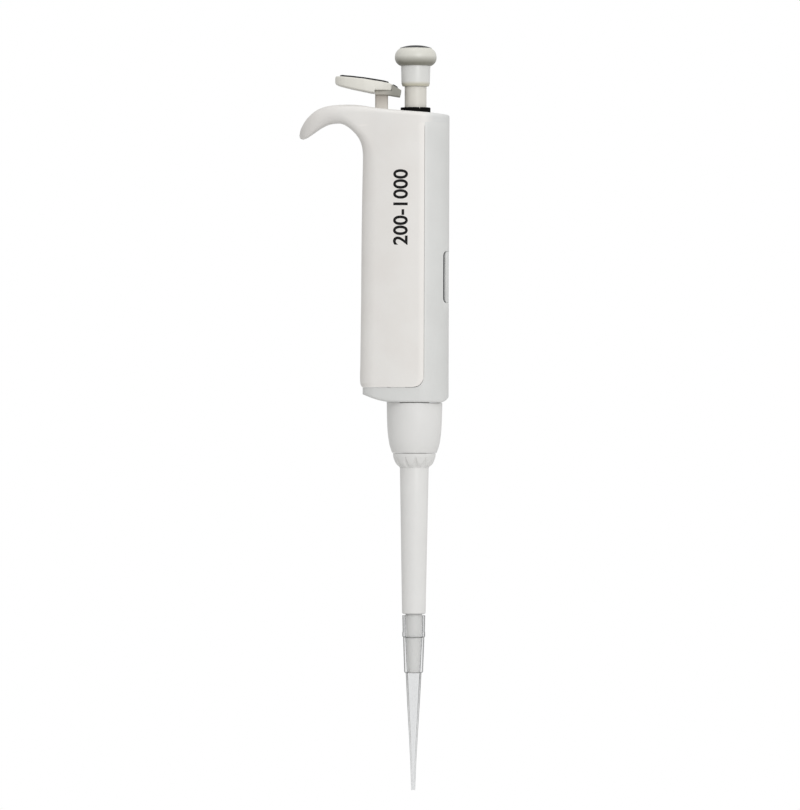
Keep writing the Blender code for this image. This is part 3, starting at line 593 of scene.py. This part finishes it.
def build_handle_shell():
    """Rear shell: body up to the hook's land, then hook, top and cap in one skin."""
    skin = Skin()
    # Rows of the body, from the bottom edge up to the hook's land.
    heights = np.concatenate([np.linspace(SHELL_BOTTOM, -100.0, 16), np.arange(-97.0, -18.0, 3.0),
                              np.arange(-17.0, -1.6, 0.5), np.linspace(-1.5, 0.0, 10)])
    body_part = UNDERSIDE[(UNDERSIDE[:, 1] <= 0.0) & (UNDERSIDE[:, 0] > LAND_X - 0.01)]
    left = read_curve(body_part, heights, 1)
    left[-1] = LAND_X
    seam = np.where(heights < SEAM_CORNER, read_curve(SEAM_CURVE, heights, 1), SEAM_X)
    seam += 1.1 * np.clip((heights + 1.7) / 1.7, 0.0, 1.0) ** 2
    share = np.concatenate([6.5 * np.linspace(0, 1, 15) ** 1.7, np.linspace(6.5, 25.5, 15)[1:]]) / 25.5
    x = left[:, None] + (seam - left)[:, None] * share
    z = np.repeat(heights[:, None], len(share), axis=1)
    y = shell_side(x, z)
    skin.both_sides(x, y, z)
    skin.across(x[:, 0], y[:, 0], z[:, 0])

    # Columns of the hook, the top and the cap.
    hook = eased(40, HOOK_TIP_X + 0.16, LAND_X, high=False)
    middle = x[-1]
    cap = eased(26, middle[-1], FRONT_X, low=False)
    columns = np.concatenate([hook[:-1], middle, cap[1:]])
    hook_under = UNDERSIDE[UNDERSIDE[:, 0] < LAND_X + 0.1]
    bottom = np.where(columns < LAND_X, read_curve(hook_under, columns), 0.0)
    bottom = np.where(columns > middle[-1], cap_edge(columns - middle[-1]), bottom)
    top = read_curve(TOP, columns)
    top[0] = bottom[0]
    share = eased(26, 0.0, 1.0)
    z = bottom[:, None] + (top - bottom)[:, None] * share
    x = np.repeat(columns[:, None], len(share), axis=1)
    y = shell_side(x, z)
    skin.both_sides(x, y, z)
    skin.across(x[:, -1], y[:, -1], z[:, -1])
    under = columns <= LAND_X + 1e-6
    skin.across(x[under, 0], y[under, 0], z[under, 0])
    shell = skin.build("rear_shell", ((-10.0, HALF_WIDTH, -50.0), (0, 1, 0)))

    slot = [(POST_X + a, b) for a, b in rounded_loop(2.9, 3.8, 0.9)]
    hollow_out(shell, SHELL_WALL, 0.14, [
        drill("plunger_hole", 5.8, 12, 1), drill("ring_seat", 6.2, 12, 3.95),
        prism("ejector_slot", slot, 2.0, 10.0)])
    dress(shell, "shell_plastic", "handle", "handle_shell")


CHIN_TOP = SHELL_BOTTOM - SEAM_GAP
# Lower outline of the chin in the side view: x, z, radius of the rounded edge there.
CHIN_CURVE = smooth_curve([
    (-21.5, -108.9, 1.0), (-19.3, -109.8, 1.0), (-17.4, -110.55, 1.0), (-15.0, -111.32, 1.0),
    (-12.0, -112.0, 1.0), (-8.0, -112.25, 0.9), (-3.0, -112.3, 0.8), (3.0, -112.3, 0.7), (8.0, -112.3, 0.7),
    (10.95, -112.25, 0.7), (11.9, -111.9, 0.8), (12.9, -111.15, 0.9), (13.7, -110.15, 1.0)])
CHIN_ROOM = (-105.0, -116.0)     # cutters through the chin's floor reach from one height to the other


def front_side(x, z):
    """y of the front housing's surface. Its step inside the shell fades out under the cap."""
    below, radius = nearest(x, z, CHIN_CURVE)
    rear = np.clip(x - CHIN_REAR_X, 0.0, None)
    step = STEP * np.clip((-2.0 - z) / 9.0, 0.0, 1.0)
    return (half_width(x, HALF_WIDTH - step) * (1 - drop(below, radius) / ROUNDING)
            * (1 - drop(rear, 5.0) / ROUNDING))


WINDOW_Z = -61.9
WINDOW_OPENING = (7.15, 10.4, 1.9)     # half width, half height, corner radius
WINDOW_PANE = (5.75, 10.3, 1.6)


def build_front_housing():
    """Front wall and chin, with the window, the tongue's slot and the screw holes."""
    skin = Skin()
    left = SEAM_X + SEAM_GAP
    chin_share = eased(22, 0.0, 1.0, high=False)
    rear = eased(26, CHIN_REAR_X, -8.0, high=False)
    columns = np.concatenate([rear[:-1], np.linspace(-8.0, -1.0, 8)[:-1], np.linspace(-1.0, left, 14)])
    chin = read_curve(CHIN_CURVE, columns)
    edge = np.where(columns < -1.0, CHIN_TOP, read_curve(SEAM_CURVE, columns - SEAM_GAP) - SEAM_GAP)
    edge[-1] = SEAM_CORNER
    z = chin[:, None] + (edge - chin)[:, None] * chin_share
    x = np.repeat(columns[:, None], len(chin_share), axis=1)
    y = front_side(x, z)
    skin.both_sides(x, y, z)
    skin.across(x[:, 0], y[:, 0], z[:, 0], 13)
    skin.across(x[0], y[0], z[0], 13)

    columns = eased(30, left, FRONT_X, low=False)
    chin = read_curve(CHIN_CURVE, columns)
    low_rows = chin[:, None] + (SEAM_CORNER - chin)[:, None] * chin_share
    rim = cap_edge(columns - left) - CAP_GAP
    high_rows = np.repeat(np.arange(SEAM_CORNER + 3.0, -1.0, 3.0)[None, :], len(columns), axis=0)
    z = np.concatenate([low_rows, high_rows, rim[:, None]], axis=1)
    x = np.repeat(columns[:, None], z.shape[1], axis=1)
    y = front_side(x, z)
    skin.both_sides(x, y, z)
    skin.across(x[:, 0], y[:, 0], z[:, 0], 13)
    front = skin.build("front_cover", ((8.0, 10.0, -50.0), (0, 1, 0)))

    window = [(y, WINDOW_Z + z) for y, z in rounded_loop(*WINDOW_OPENING)]
    opening = loft("window_opening", [[(x, y, z) for y, z in window] for x in (7.0, 16.0)])
    tongue = [(r * math.cos(math.radians(180 + a)), r * math.sin(math.radians(180 + a)))
              for r, sweep in ((11.5, range(-59, 60, 2)), (9.7, range(59, -60, -2))) for a in sweep]
    cutters = [opening, drill("neck_hole", 6.4, *CHIN_ROOM),
               prism("tongue_slot", tongue, CHIN_ROOM[1], -108.0)]
    for number in range(1, 5):
        start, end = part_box(f"base_screw_{number}")
        center = ((start[0] + end[0]) / 2 - AXIS.x) / MM, ((start[1] + end[1]) / 2 - AXIS.y) / MM
        cutters.append(drill(f"screw_hole_{number}", 1.3, *CHIN_ROOM, 32, center))
    hollow_out(front, FRONT_WALL, 0.12, cutters)
    dress(front, "front_plastic", "handle", "front_housing")


def window_plate(name, outer, radius, thickness, hole=None):
    """A plate over a rounded rectangle, bent round the front of the handle."""
    half_y, half_z, corner = outer
    loop = [(y, WINDOW_Z + z) for y, z in rounded_loop(half_y, half_z, corner, 8)]
    blank = loft(name, [[(x, y, z) for y, z in loop] for x in (5.0, 15.0)])
    turn = np.radians(np.linspace(-48, 48, 97))
    arc = [(FRONT_ARC_X + r * math.cos(a), r * math.sin(a))
           for r, angles in ((radius, turn), (radius - thickness, turn[::-1])) for a in angles]
    wall = prism("bent_wall", arc, WINDOW_Z - 14.0, WINDOW_Z + 14.0)
    cutters = [wall]
    cut(blank, wall, "INTERSECT")
    if hole:
        inner = [(y, WINDOW_Z + z) for y, z in rounded_loop(*hole, 8)]
        cutters.append(loft("plate_hole", [[(x, y, z) for y, z in inner] for x in (4.0, 16.0)]))
        cut(blank, cutters[-1])
    settle(blank, cutters)
    return blank


def build_window():
    """Clear pane flush with the wall, in a thin dark strip of painted shade round it."""
    pane = window_plate("window_pane", WINDOW_PANE, 12.02, 1.0)
    soften(pane, 0.15)
    settle(pane)
    dress(pane, "clear_window", "handle", "display_window")
    # painted shade: a dark strip round the pane stands for the shade in the opening's recess
    shade_outline = (WINDOW_OPENING[0] - 0.03, WINDOW_OPENING[1] - 0.03, WINDOW_OPENING[2])
    strip = window_plate("window_shade_strip", shade_outline, 11.72, 0.6, WINDOW_PANE)
    dress(strip, "black_plastic", "handle", material=LOOKS["slate_plastic"])


# ---- plunger -----------------------------------------------------------------------------
ROD_HOLE = 2.3               # radius of the hole for the operating rod
CAP_RADIUS = 6.45
CAP_TOP = 31.55
CAP_FALL = 1.1               # how much lower the cap is at its edge than in the middle


def build_plunger():
    """Push button with its domed cap, the collar and the stem under it."""
    crown = [(r, CAP_TOP - CAP_FALL * (r / CAP_RADIUS) ** 2.3) for r in np.linspace(0.0, CAP_RADIUS, 12)]
    edge = CAP_TOP - CAP_FALL
    side = [tuple(p) for p in smooth_curve([
        (6.6, 30.12), (7.4, 29.5), (8.05, 28.5), (8.4, 27.2), (8.42, 26.3), (8.24, 25.4), (7.8, 24.55),
        (7.2, 23.9), (6.6, 23.48), (6.0, 23.25)], 0.3)]
    seat = [(0, edge - 0.5), (CAP_RADIUS - 0.25, edge - 0.5), (CAP_RADIUS - 0.05, edge - 0.04)]
    knob = seat + side + [(5.92, 23.5), (ROD_HOLE, 23.5), (ROD_HOLE, 28.3), (0, 28.3)]
    cap = crown + [(CAP_RADIUS - 0.2, edge - 0.42), (0, edge - 0.42)]
    collar = [(5.92, 23.4, 0.15), (5.72, 16.1, 0.4), (5.3, 15.0, 0.3), (4.6, 15.0), (4.6, 22.4),
              (ROD_HOLE, 22.4), (ROD_HOLE, 23.4)]
    stem = [(4.4, 22.1, 0.1), (4.4, -17.0, 0.3), (ROD_HOLE, -17.0), (ROD_HOLE, 22.1)]
    for name, profile, slot, node, material in (
            ("push_knob", knob, "button_plastic", "push_button", KNOB),
            ("knob_cap", cap, "slate_plastic", "button_cap", None),
            ("knob_collar", collar, "collar_plastic", "adjustment_collar", None),
            ("knob_stem", stem, "stem_plastic", "plunger_stem", None)):
        dress(lathe(name, profile, 144), slot, "knob", node, material=material)


def build_calibration_nut():
    """Black ring round the plunger, slotted for a key."""
    nut = lathe("black_nut", [(5.98, 6.45, 0.12), (6.03, 6.2, 0.1), (6.03, 4.1), (5.4, 4.1), (5.4, -6.0),
                              (4.6, -6.0), (4.6, 6.45, 0.12)], 144)
    turn = math.radians(-72)
    slot_loop = [(a * math.cos(turn) - b * math.sin(turn), a * math.sin(turn) + b * math.cos(turn))
                 for a, b in rounded_loop(8.0, 0.35, 0.15, 3)]
    slots = prism("key_slots", slot_loop, 5.95, 8.0)
    cut(nut, slots)
    settle(nut, [slots])
    dress(nut, "black_plastic", "handle", "calibration_nut")


# ---- ejector -----------------------------------------------------------------------------
def build_ejector_top():
    """Thumb pad and hub, each with a dark inlay, on the post that goes down into the handle."""
    # Thumb pad: x, half width, bottom, top. It slopes down towards the plunger, over the hub's shelf.
    pad = rounded_bar("ejector_pad", [
        (-32.4, 2.4, 15.85, 18.7), (-31.9, 3.6, 15.6, 18.8), (-31.0, 4.7, 15.2, 18.8),
        (-29.9, 5.6, 14.87, 18.72), (-28.5, 6.3, 14.55, 18.58), (-26.0, 6.9, 13.95, 18.34),
        (-23.9, 7.2, 13.5, 18.1), (-20.6, 7.3, 12.85, 17.74), (-18.0, 7.15, 12.3, 17.3),
        (-16.5, 7.0, 12.1, 17.06), (-16.4, 7.0, 13.2, 17.04), (-13.5, 6.4, 13.2, 16.62),
        (-11.4, 5.7, 13.15, 16.22), (-10.2, 5.0, 13.1, 15.85), (-9.35, 4.3, 13.1, 15.5)], 0.6, slant=0.10)
    dress(pad, "button_plastic", "ejector", "ejector_button")
    inlay = rounded_bar("ejector_inlay", [
        (-30.5, 1.0, 18.5, 19.3), (-29.6, 2.6, 18.5, 19.46), (-28.5, 3.7, 18.3, 19.26),
        (-26.0, 4.9, 18.0, 19.04), (-23.5, 5.4, 17.7, 18.72), (-20.6, 5.5, 17.4, 18.4),
        (-17.0, 5.1, 16.9, 17.86), (-14.5, 4.4, 16.5, 17.5), (-12.6, 3.2, 16.2, 17.2),
        (-10.9, 1.2, 15.9, 16.8)], 0.12, 3)
    dress(inlay, "slate_plastic", "ejector", "ejector_button_inlay")
    hub = rounded_bar("ejector_saddle", [
        (-16.38, 4.6, 11.4, 13.14), (-13.0, 4.7, 11.4, 13.14), (-11.0, 4.75, 11.35, 13.1),
        (-9.66, 4.8, 11.15, 13.08), (-9.58, 4.8, 11.13, 15.5), (-7.8, 4.8, 10.85, 14.35),
        (-6.9, 4.8, 10.7, 13.8), (-6.0, 4.7, 10.58, 13.3)], 0.25, slant=0.2)
    room = drill("collar_room", 6.0, 30, 0)
    cut(hub, room)
    settle(hub, [room])
    dress(hub, "hub_plastic", "ejector", "ejector_hub")
    tab = rounded_bar("saddle_inlay", [(-9.2, 3.4, 14.9, 15.72), (-8.4, 3.6, 14.5, 15.42),
                                       (-7.2, 3.4, 13.9, 14.62)], 0.12, 3)
    dress(tab, "slate_plastic", "ejector", "ejector_hub_inlay")
    sections = []
    for z, inset in ((-8.0, 0.3), (-7.8, 0.08), (-7.5, 0.0), (0.0, 0.0), (6.0, 0.0), (11.2, 0.0),
                     (12.2, 0.0)):
        sections.append([(POST_X + a, b, z) for a, b in rounded_loop(2.6 - inset, 3.5 - inset, 0.8)])
    dress(loft("ejector_post", sections), "stem_plastic", "ejector", "ejector_stem", material=POST)


CUP_TOP = -112.56
CUP_RIM_RISE = 0.15          # the far half of the rim stands this much closer to the handle
TONGUE_TOP = -106.3
TONGUE_HALF_TURN = 57.0      # degrees to each side of the rear
ARM_HALF_TURN = 15.0
ARM_RISE = 6.3


def build_ejector_cup():
    """Cup with the tongue that goes up into the handle beside the chin, and the arm on the tongue. The
    rim's faces that were raised into them stay, hidden inside the cup."""
    outer = smooth_curve([(11.2, -112.9), (11.17, -114.5), (11.1, -118.0), (10.95, -121.9),
                          (10.58, -126.2), (9.9, -129.9), (9.05, -132.45)], 0.7)
    cup = lathe("cup", [(11.2, CUP_TOP)] + [tuple(p) for p in outer] + [
        (8.8, -132.7, 0.12), (6.2, -132.7), (7.4, -131.0), (8.8, -127.4), (9.5, -122.0), (9.5, CUP_TOP),
        (10.0, CUP_TOP)], 120)
    work = bmesh.new()
    work.from_mesh(cup.data)

    def rim_faces(height, limit):
        found = []
        for face in work.faces:
            place = (face.calc_center_median() - AXIS) / MM
            away = math.degrees(math.atan2(abs(place.y), -place.x))
            if abs(place.z - height) < 0.01 and away < limit and math.hypot(place.x, place.y) > 10.05:
                found.append(face)
        return found

    for height, limit, rise in ((CUP_TOP, TONGUE_HALF_TURN, TONGUE_TOP - CUP_TOP),
                                (TONGUE_TOP, ARM_HALF_TURN, ARM_RISE)):
        raised = bmesh.ops.extrude_face_region(work, geom=rim_faces(height, limit))
        corners = [g for g in raised["geom"] if isinstance(g, bmesh.types.BMVert)]
        bmesh.ops.translate(work, verts=corners, vec=(0, 0, rise * MM))
    for corner in work.verts:
        if abs(corner.co.z / MM - CUP_TOP) < 0.01:
            corner.co.z += CUP_RIM_RISE * MM * min(max((corner.co.y / MM - 0.5) / 2.5, 0.0), 1.0)
    bmesh.ops.recalc_face_normals(work, faces=work.faces)
    work.to_mesh(cup.data)
    work.free()
    soften(cup, 0.15, 2, 60)
    settle(cup)
    dress(cup, "lower_plastic", "ejector", "ejector_cup")
    bridge = rounded_bar("ejector_bridge", [(-15.8, 3.0, -101.5, -98.5), (-10.0, 3.0, -101.5, -98.5)], 0.4)
    dress(bridge, "lower_plastic", "ejector")


RING_TOP = -132.84
RING_FOOT = -138.6
NOTCH_TOP = -134.2
NOTCH_SPACING = 30.0         # degrees
NOTCH_TURN = 4.0
NOTCH_DEPTH = 0.70


def notched(radius, height, turn):
    """Shallow hollows round the ring that widen downwards and run out before its foot."""
    away = np.abs((turn - NOTCH_TURN + NOTCH_SPACING / 2) % NOTCH_SPACING - NOTCH_SPACING / 2)
    share = np.clip((NOTCH_TOP - height) / 2.6, 0.0, 1.0)
    groove = np.clip(1.9 * (1.0 - away / np.maximum(7.5 * share, 0.01)), 0.0, 1.0)
    foot = np.clip((height - RING_FOOT) / 1.2, 0.0, 1.0)
    outside = (height < NOTCH_TOP) & (radius > 5.7)
    return radius - np.where(outside, NOTCH_DEPTH * share ** 0.5 * groove * foot, 0.0)


def build_ejector_lower():
    """Notched ring under the cup and the sleeve that pushes the tip off."""
    outer = smooth_curve([(8.62, -132.95), (8.56, -133.9), (8.36, -134.75), (7.97, -135.8), (7.52, -136.8),
                          (6.9, -137.6), (6.1, -138.25), (5.83, RING_FOOT)], 0.3)
    bore = [(5.3, RING_FOOT), (5.3, -135.0), (6.2, RING_TOP)]
    ring = lathe("ring", [(8.4, RING_TOP, 0.08)] + [tuple(p) for p in outer] + bore, 360, notched)
    dress(ring, "lower_plastic", "ejector", "ejector_ring")
    sleeve = lathe("sleeve", [(5.8, -138.62, 0.05), (5.52, -154.0, 30.0), (4.76, -197.2, 0.45),
                              (4.25, -197.6, 0.15), (3.9, -197.1), (5.2, -138.62)], 144)
    dress(sleeve, "lower_plastic", "ejector", "ejector_sleeve")


def build_shaft_and_tip():
    """Shaft with its cone, and the clear tip fitted on it."""
    shaft = lathe("cone_shaft", [
        (5.8, -122.3), (5.8, -124.3), (4.9, -124.3), (4.6, -154.0), (3.4, -197.0), (2.3, -221.3, 0.15),
        (1.4, -221.3), (2.1, -190.0), (3.95, -157.0), (3.95, -122.3)], 96)
    dress(shaft, "lower_plastic", "handle", "shaft")
    outside = [(4.62, -198.1, 0.12), (4.48, -204.6, 0.2), (4.62, -205.1, 0.1), (4.60, -206.6, 0.1),
               (4.30, -206.95, 0.1), (3.80, -221.0, 0.2), (3.17, -221.4, 0.15), (2.64, -231.8),
               (1.74, -247.0), (1.22, -256.5), (0.78, -268.5)]
    bore = [(0.42, -268.5), (0.82, -256.5), (1.26, -247.0), (2.10, -231.8), (2.62, -222.6), (2.78, -220.6),
            (3.42, -207.25), (3.66, -207.0), (3.78, -198.1, 0.1)]
    tip = lathe("clear_cone", outside + bore, 144)
    tip.visible_shadow = False
    dress(tip, "clear_tip", "fitted_tip", "tip")


# ---- figures -----------------------------------------------------------------------------
FIGURE_HEIGHT = 0.70         # height of a figure as a share of the font's size
STRIP = 0.4                  # figures that are bent are cut into strips of this width


def figures(text, height, width_scale, thickness, bent, weight):
    """Flat closed figures in millimetres in a new bmesh, centred, cut into narrow strips along x (0) or
    y (1), the way they are bent. weight thickens the strokes."""
    curve = bpy.data.curves.new("figures", "FONT")
    curve.body = text
    curve.size = height / FIGURE_HEIGHT
    curve.extrude = thickness / 2
    curve.resolution_u = 6
    curve.offset = weight
    curve.align_x = "CENTER"
    curve.align_y = "CENTER"
    holder = bpy.data.objects.new("figures", curve)
    bpy.context.scene.collection.objects.link(holder)
    bpy.context.view_layer.update()
    mesh = bpy.data.meshes.new_from_object(holder.evaluated_get(bpy.context.evaluated_depsgraph_get()))
    bpy.data.objects.remove(holder, do_unlink=True)
    work = bmesh.new()
    work.from_mesh(mesh)
    bmesh.ops.scale(work, verts=work.verts, vec=(width_scale, 1, 1))
    bmesh.ops.remove_doubles(work, verts=work.verts, dist=0.001)
    reach = max(abs(v.co[bent]) for v in work.verts)
    for place in np.arange(-math.floor(reach / STRIP) * STRIP + 0.013, reach, STRIP):
        normal = Vector((1 - bent, bent, 0))
        bmesh.ops.bisect_plane(work, geom=work.verts[:] + work.edges[:] + work.faces[:],
                               plane_co=normal * place, plane_no=normal)
    return work


def place_figures(name, work, placed):
    """Moves each point of the figures with placed(x, y, height) and makes the object."""
    for vertex in work.verts:
        vertex.co = AXIS + Vector(placed(*vertex.co)) * MM
    bmesh.ops.recalc_face_normals(work, faces=work.faces)
    mesh = bpy.data.meshes.new(name)
    work.to_mesh(mesh)
    work.free()
    piece = bpy.data.objects.new(name, mesh)
    bpy.context.scene.collection.objects.link(piece)
    return piece


def join(name, pieces):
    """One object from several."""
    work = bmesh.new()
    for piece in pieces:
        work.from_mesh(piece.data)
        bpy.data.objects.remove(piece, do_unlink=True)
    mesh = bpy.data.meshes.new(name)
    work.to_mesh(mesh)
    work.free()
    whole = bpy.data.objects.new(name, mesh)
    bpy.context.scene.collection.objects.link(whole)
    return whole


def build_drums():
    """Three digit drums that read 0, 2, 0 in the window at rest, the smallest setting."""
    for body, shown in (("thousands", 0), ("hundreds", 2), ("tens", 0)):
        node = f"drum_{body}"
        low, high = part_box(node)
        radius = (high[0] - low[0]) / 2 / MM
        top, bottom = high[2] / MM, low[2] / MM
        drum = lathe(f"drum_of_{body}", [
            (radius, top, 0.15), (radius, bottom + 1.6, 0.1), (radius - 0.6, bottom + 1.2),
            (radius - 0.6, bottom, 0.1), (5.3, bottom), (5.3, top)], 144)
        dress(drum, "drum_plastic", body, node)
        middle = top - 2.3
        marks = []
        for digit in range(10):
            turn = -math.tau / 10 * (digit - shown)

            def on_drum(x, y, w):
                angle = turn + x / radius
                return (radius + w) * math.cos(angle), (radius + w) * math.sin(angle), middle + y

            work = figures(str(digit), 4.0, 0.86, 0.05, 0, 0.06)
            marks.append(place_figures(f"digit_{digit}", work, on_drum))
        dress(join(f"digits_{body}", marks), "black_plastic", body, material=INK)


def build_print():
    """The volume range, printed up the left side in plain figures."""
    work = figures("200-1000", 5.6, 1.0, 0.04, 1, 0.16)

    def on_side(x, y, w):
        across = -5.6 - y
        return across, -(float(half_width(np.array(across))) + w), -34.0 + x

    dress(place_figures("range_figures", work, on_side), "black_plastic", "handle", material=PRINT)


build_handle_shell()
build_front_housing()
build_window()
build_calibration_nut()
build_plunger()
build_ejector_top()
build_ejector_cup()
build_ejector_lower()
build_shaft_and_tip()
build_drums()
build_print()


# ---- studio ------------------------------------------------------------------------------
def build_floor():
    """A plain pale disc under the hanging pipette."""
    radius, height = 600.0, -450.0
    under = height - 12.0
    floor = lathe("floor", [(0, height), (radius, height, 4.0), (radius, under), (0, under)], 128)
    material, tree, shader = shader_of("floor_matt")
    clouds = spread(tree, noise(tree, 6, 3.0), 0.0, 1.0)
    tone = blend_colors(tree, clouds, (0.72, 0.72, 0.71), (0.75, 0.75, 0.74))
    tree.links.new(tone, shader.inputs["Base Color"])
    shader.inputs["Roughness"].default_value = 0.7
    floor.data.materials.append(material)


def build_world():
    """White to the camera; a softer room, brighter on the window's side, as light."""
    world = bpy.data.worlds.new("studio")
    bpy.context.scene.world = world
    world.use_nodes = True
    tree = world.node_tree
    tree.nodes.clear()
    out = tree.nodes.new("ShaderNodeOutputWorld")
    mix = tree.nodes.new("ShaderNodeMixShader")
    path = tree.nodes.new("ShaderNodeLightPath")
    seen = tree.nodes.new("ShaderNodeBackground")
    seen.inputs["Color"].default_value = (1, 1, 1, 1)
    room = tree.nodes.new("ShaderNodeBackground")
    coords = tree.nodes.new("ShaderNodeTexCoord")
    toward = tree.nodes.new("ShaderNodeVectorMath")
    toward.operation = "DOT_PRODUCT"
    toward.inputs[1].default_value = (0.15, 0.0, 0.88)
    tree.links.new(coords.outputs["Generated"], toward.inputs[0])
    side = spread(tree, toward.outputs["Value"], 0.0, 1.0, -1.0, 1.0)
    walls = blend_colors(tree, side, (0.37, 0.37, 0.37), (0.94, 0.94, 0.93))
    tree.links.new(walls, room.inputs["Color"])
    tree.links.new(path.outputs["Is Camera Ray"], mix.inputs["Fac"])
    tree.links.new(room.outputs["Background"], mix.inputs[1])
    tree.links.new(seen.outputs["Background"], mix.inputs[2])
    tree.links.new(mix.outputs["Shader"], out.inputs["Surface"])


def softbox(name, place, size, power, target=(0.0, 0.0, -0.11)):
    """Rectangular area light aimed at the middle of the pipette."""
    data = bpy.data.lights.new(name, "AREA")
    data.shape = "RECTANGLE"
    data.size, data.size_y = size
    data.energy = power
    light = bpy.data.objects.new(name, data)
    bpy.context.scene.collection.objects.link(light)
    light.location = place
    light.rotation_euler = (Vector(target) - Vector(place)).to_track_quat("-Z", "Y").to_euler()


build_floor()
build_world()
softbox("key", (0.62, -1.8, 0.6), (0.9, 1.2), 14.6)
softbox("top", (0.0, -0.2, 1.6), (0.8, 0.8), 3.0)

CAMERA_DISTANCE = 2.72
camera_data = bpy.data.cameras.new("camera")
camera_data.lens = 300.0
camera_data.sensor_width = 36.0
camera_data.clip_end = 20.0
camera = bpy.data.objects.new("camera", camera_data)
bpy.context.scene.collection.objects.link(camera)
camera.location = (0.02535, -CAMERA_DISTANCE, -0.1134)
camera.rotation_euler = (math.pi / 2, math.radians(-0.2), 0)
bpy.context.scene.camera = camera
bpy.context.scene.view_settings.view_transform = "Standard"
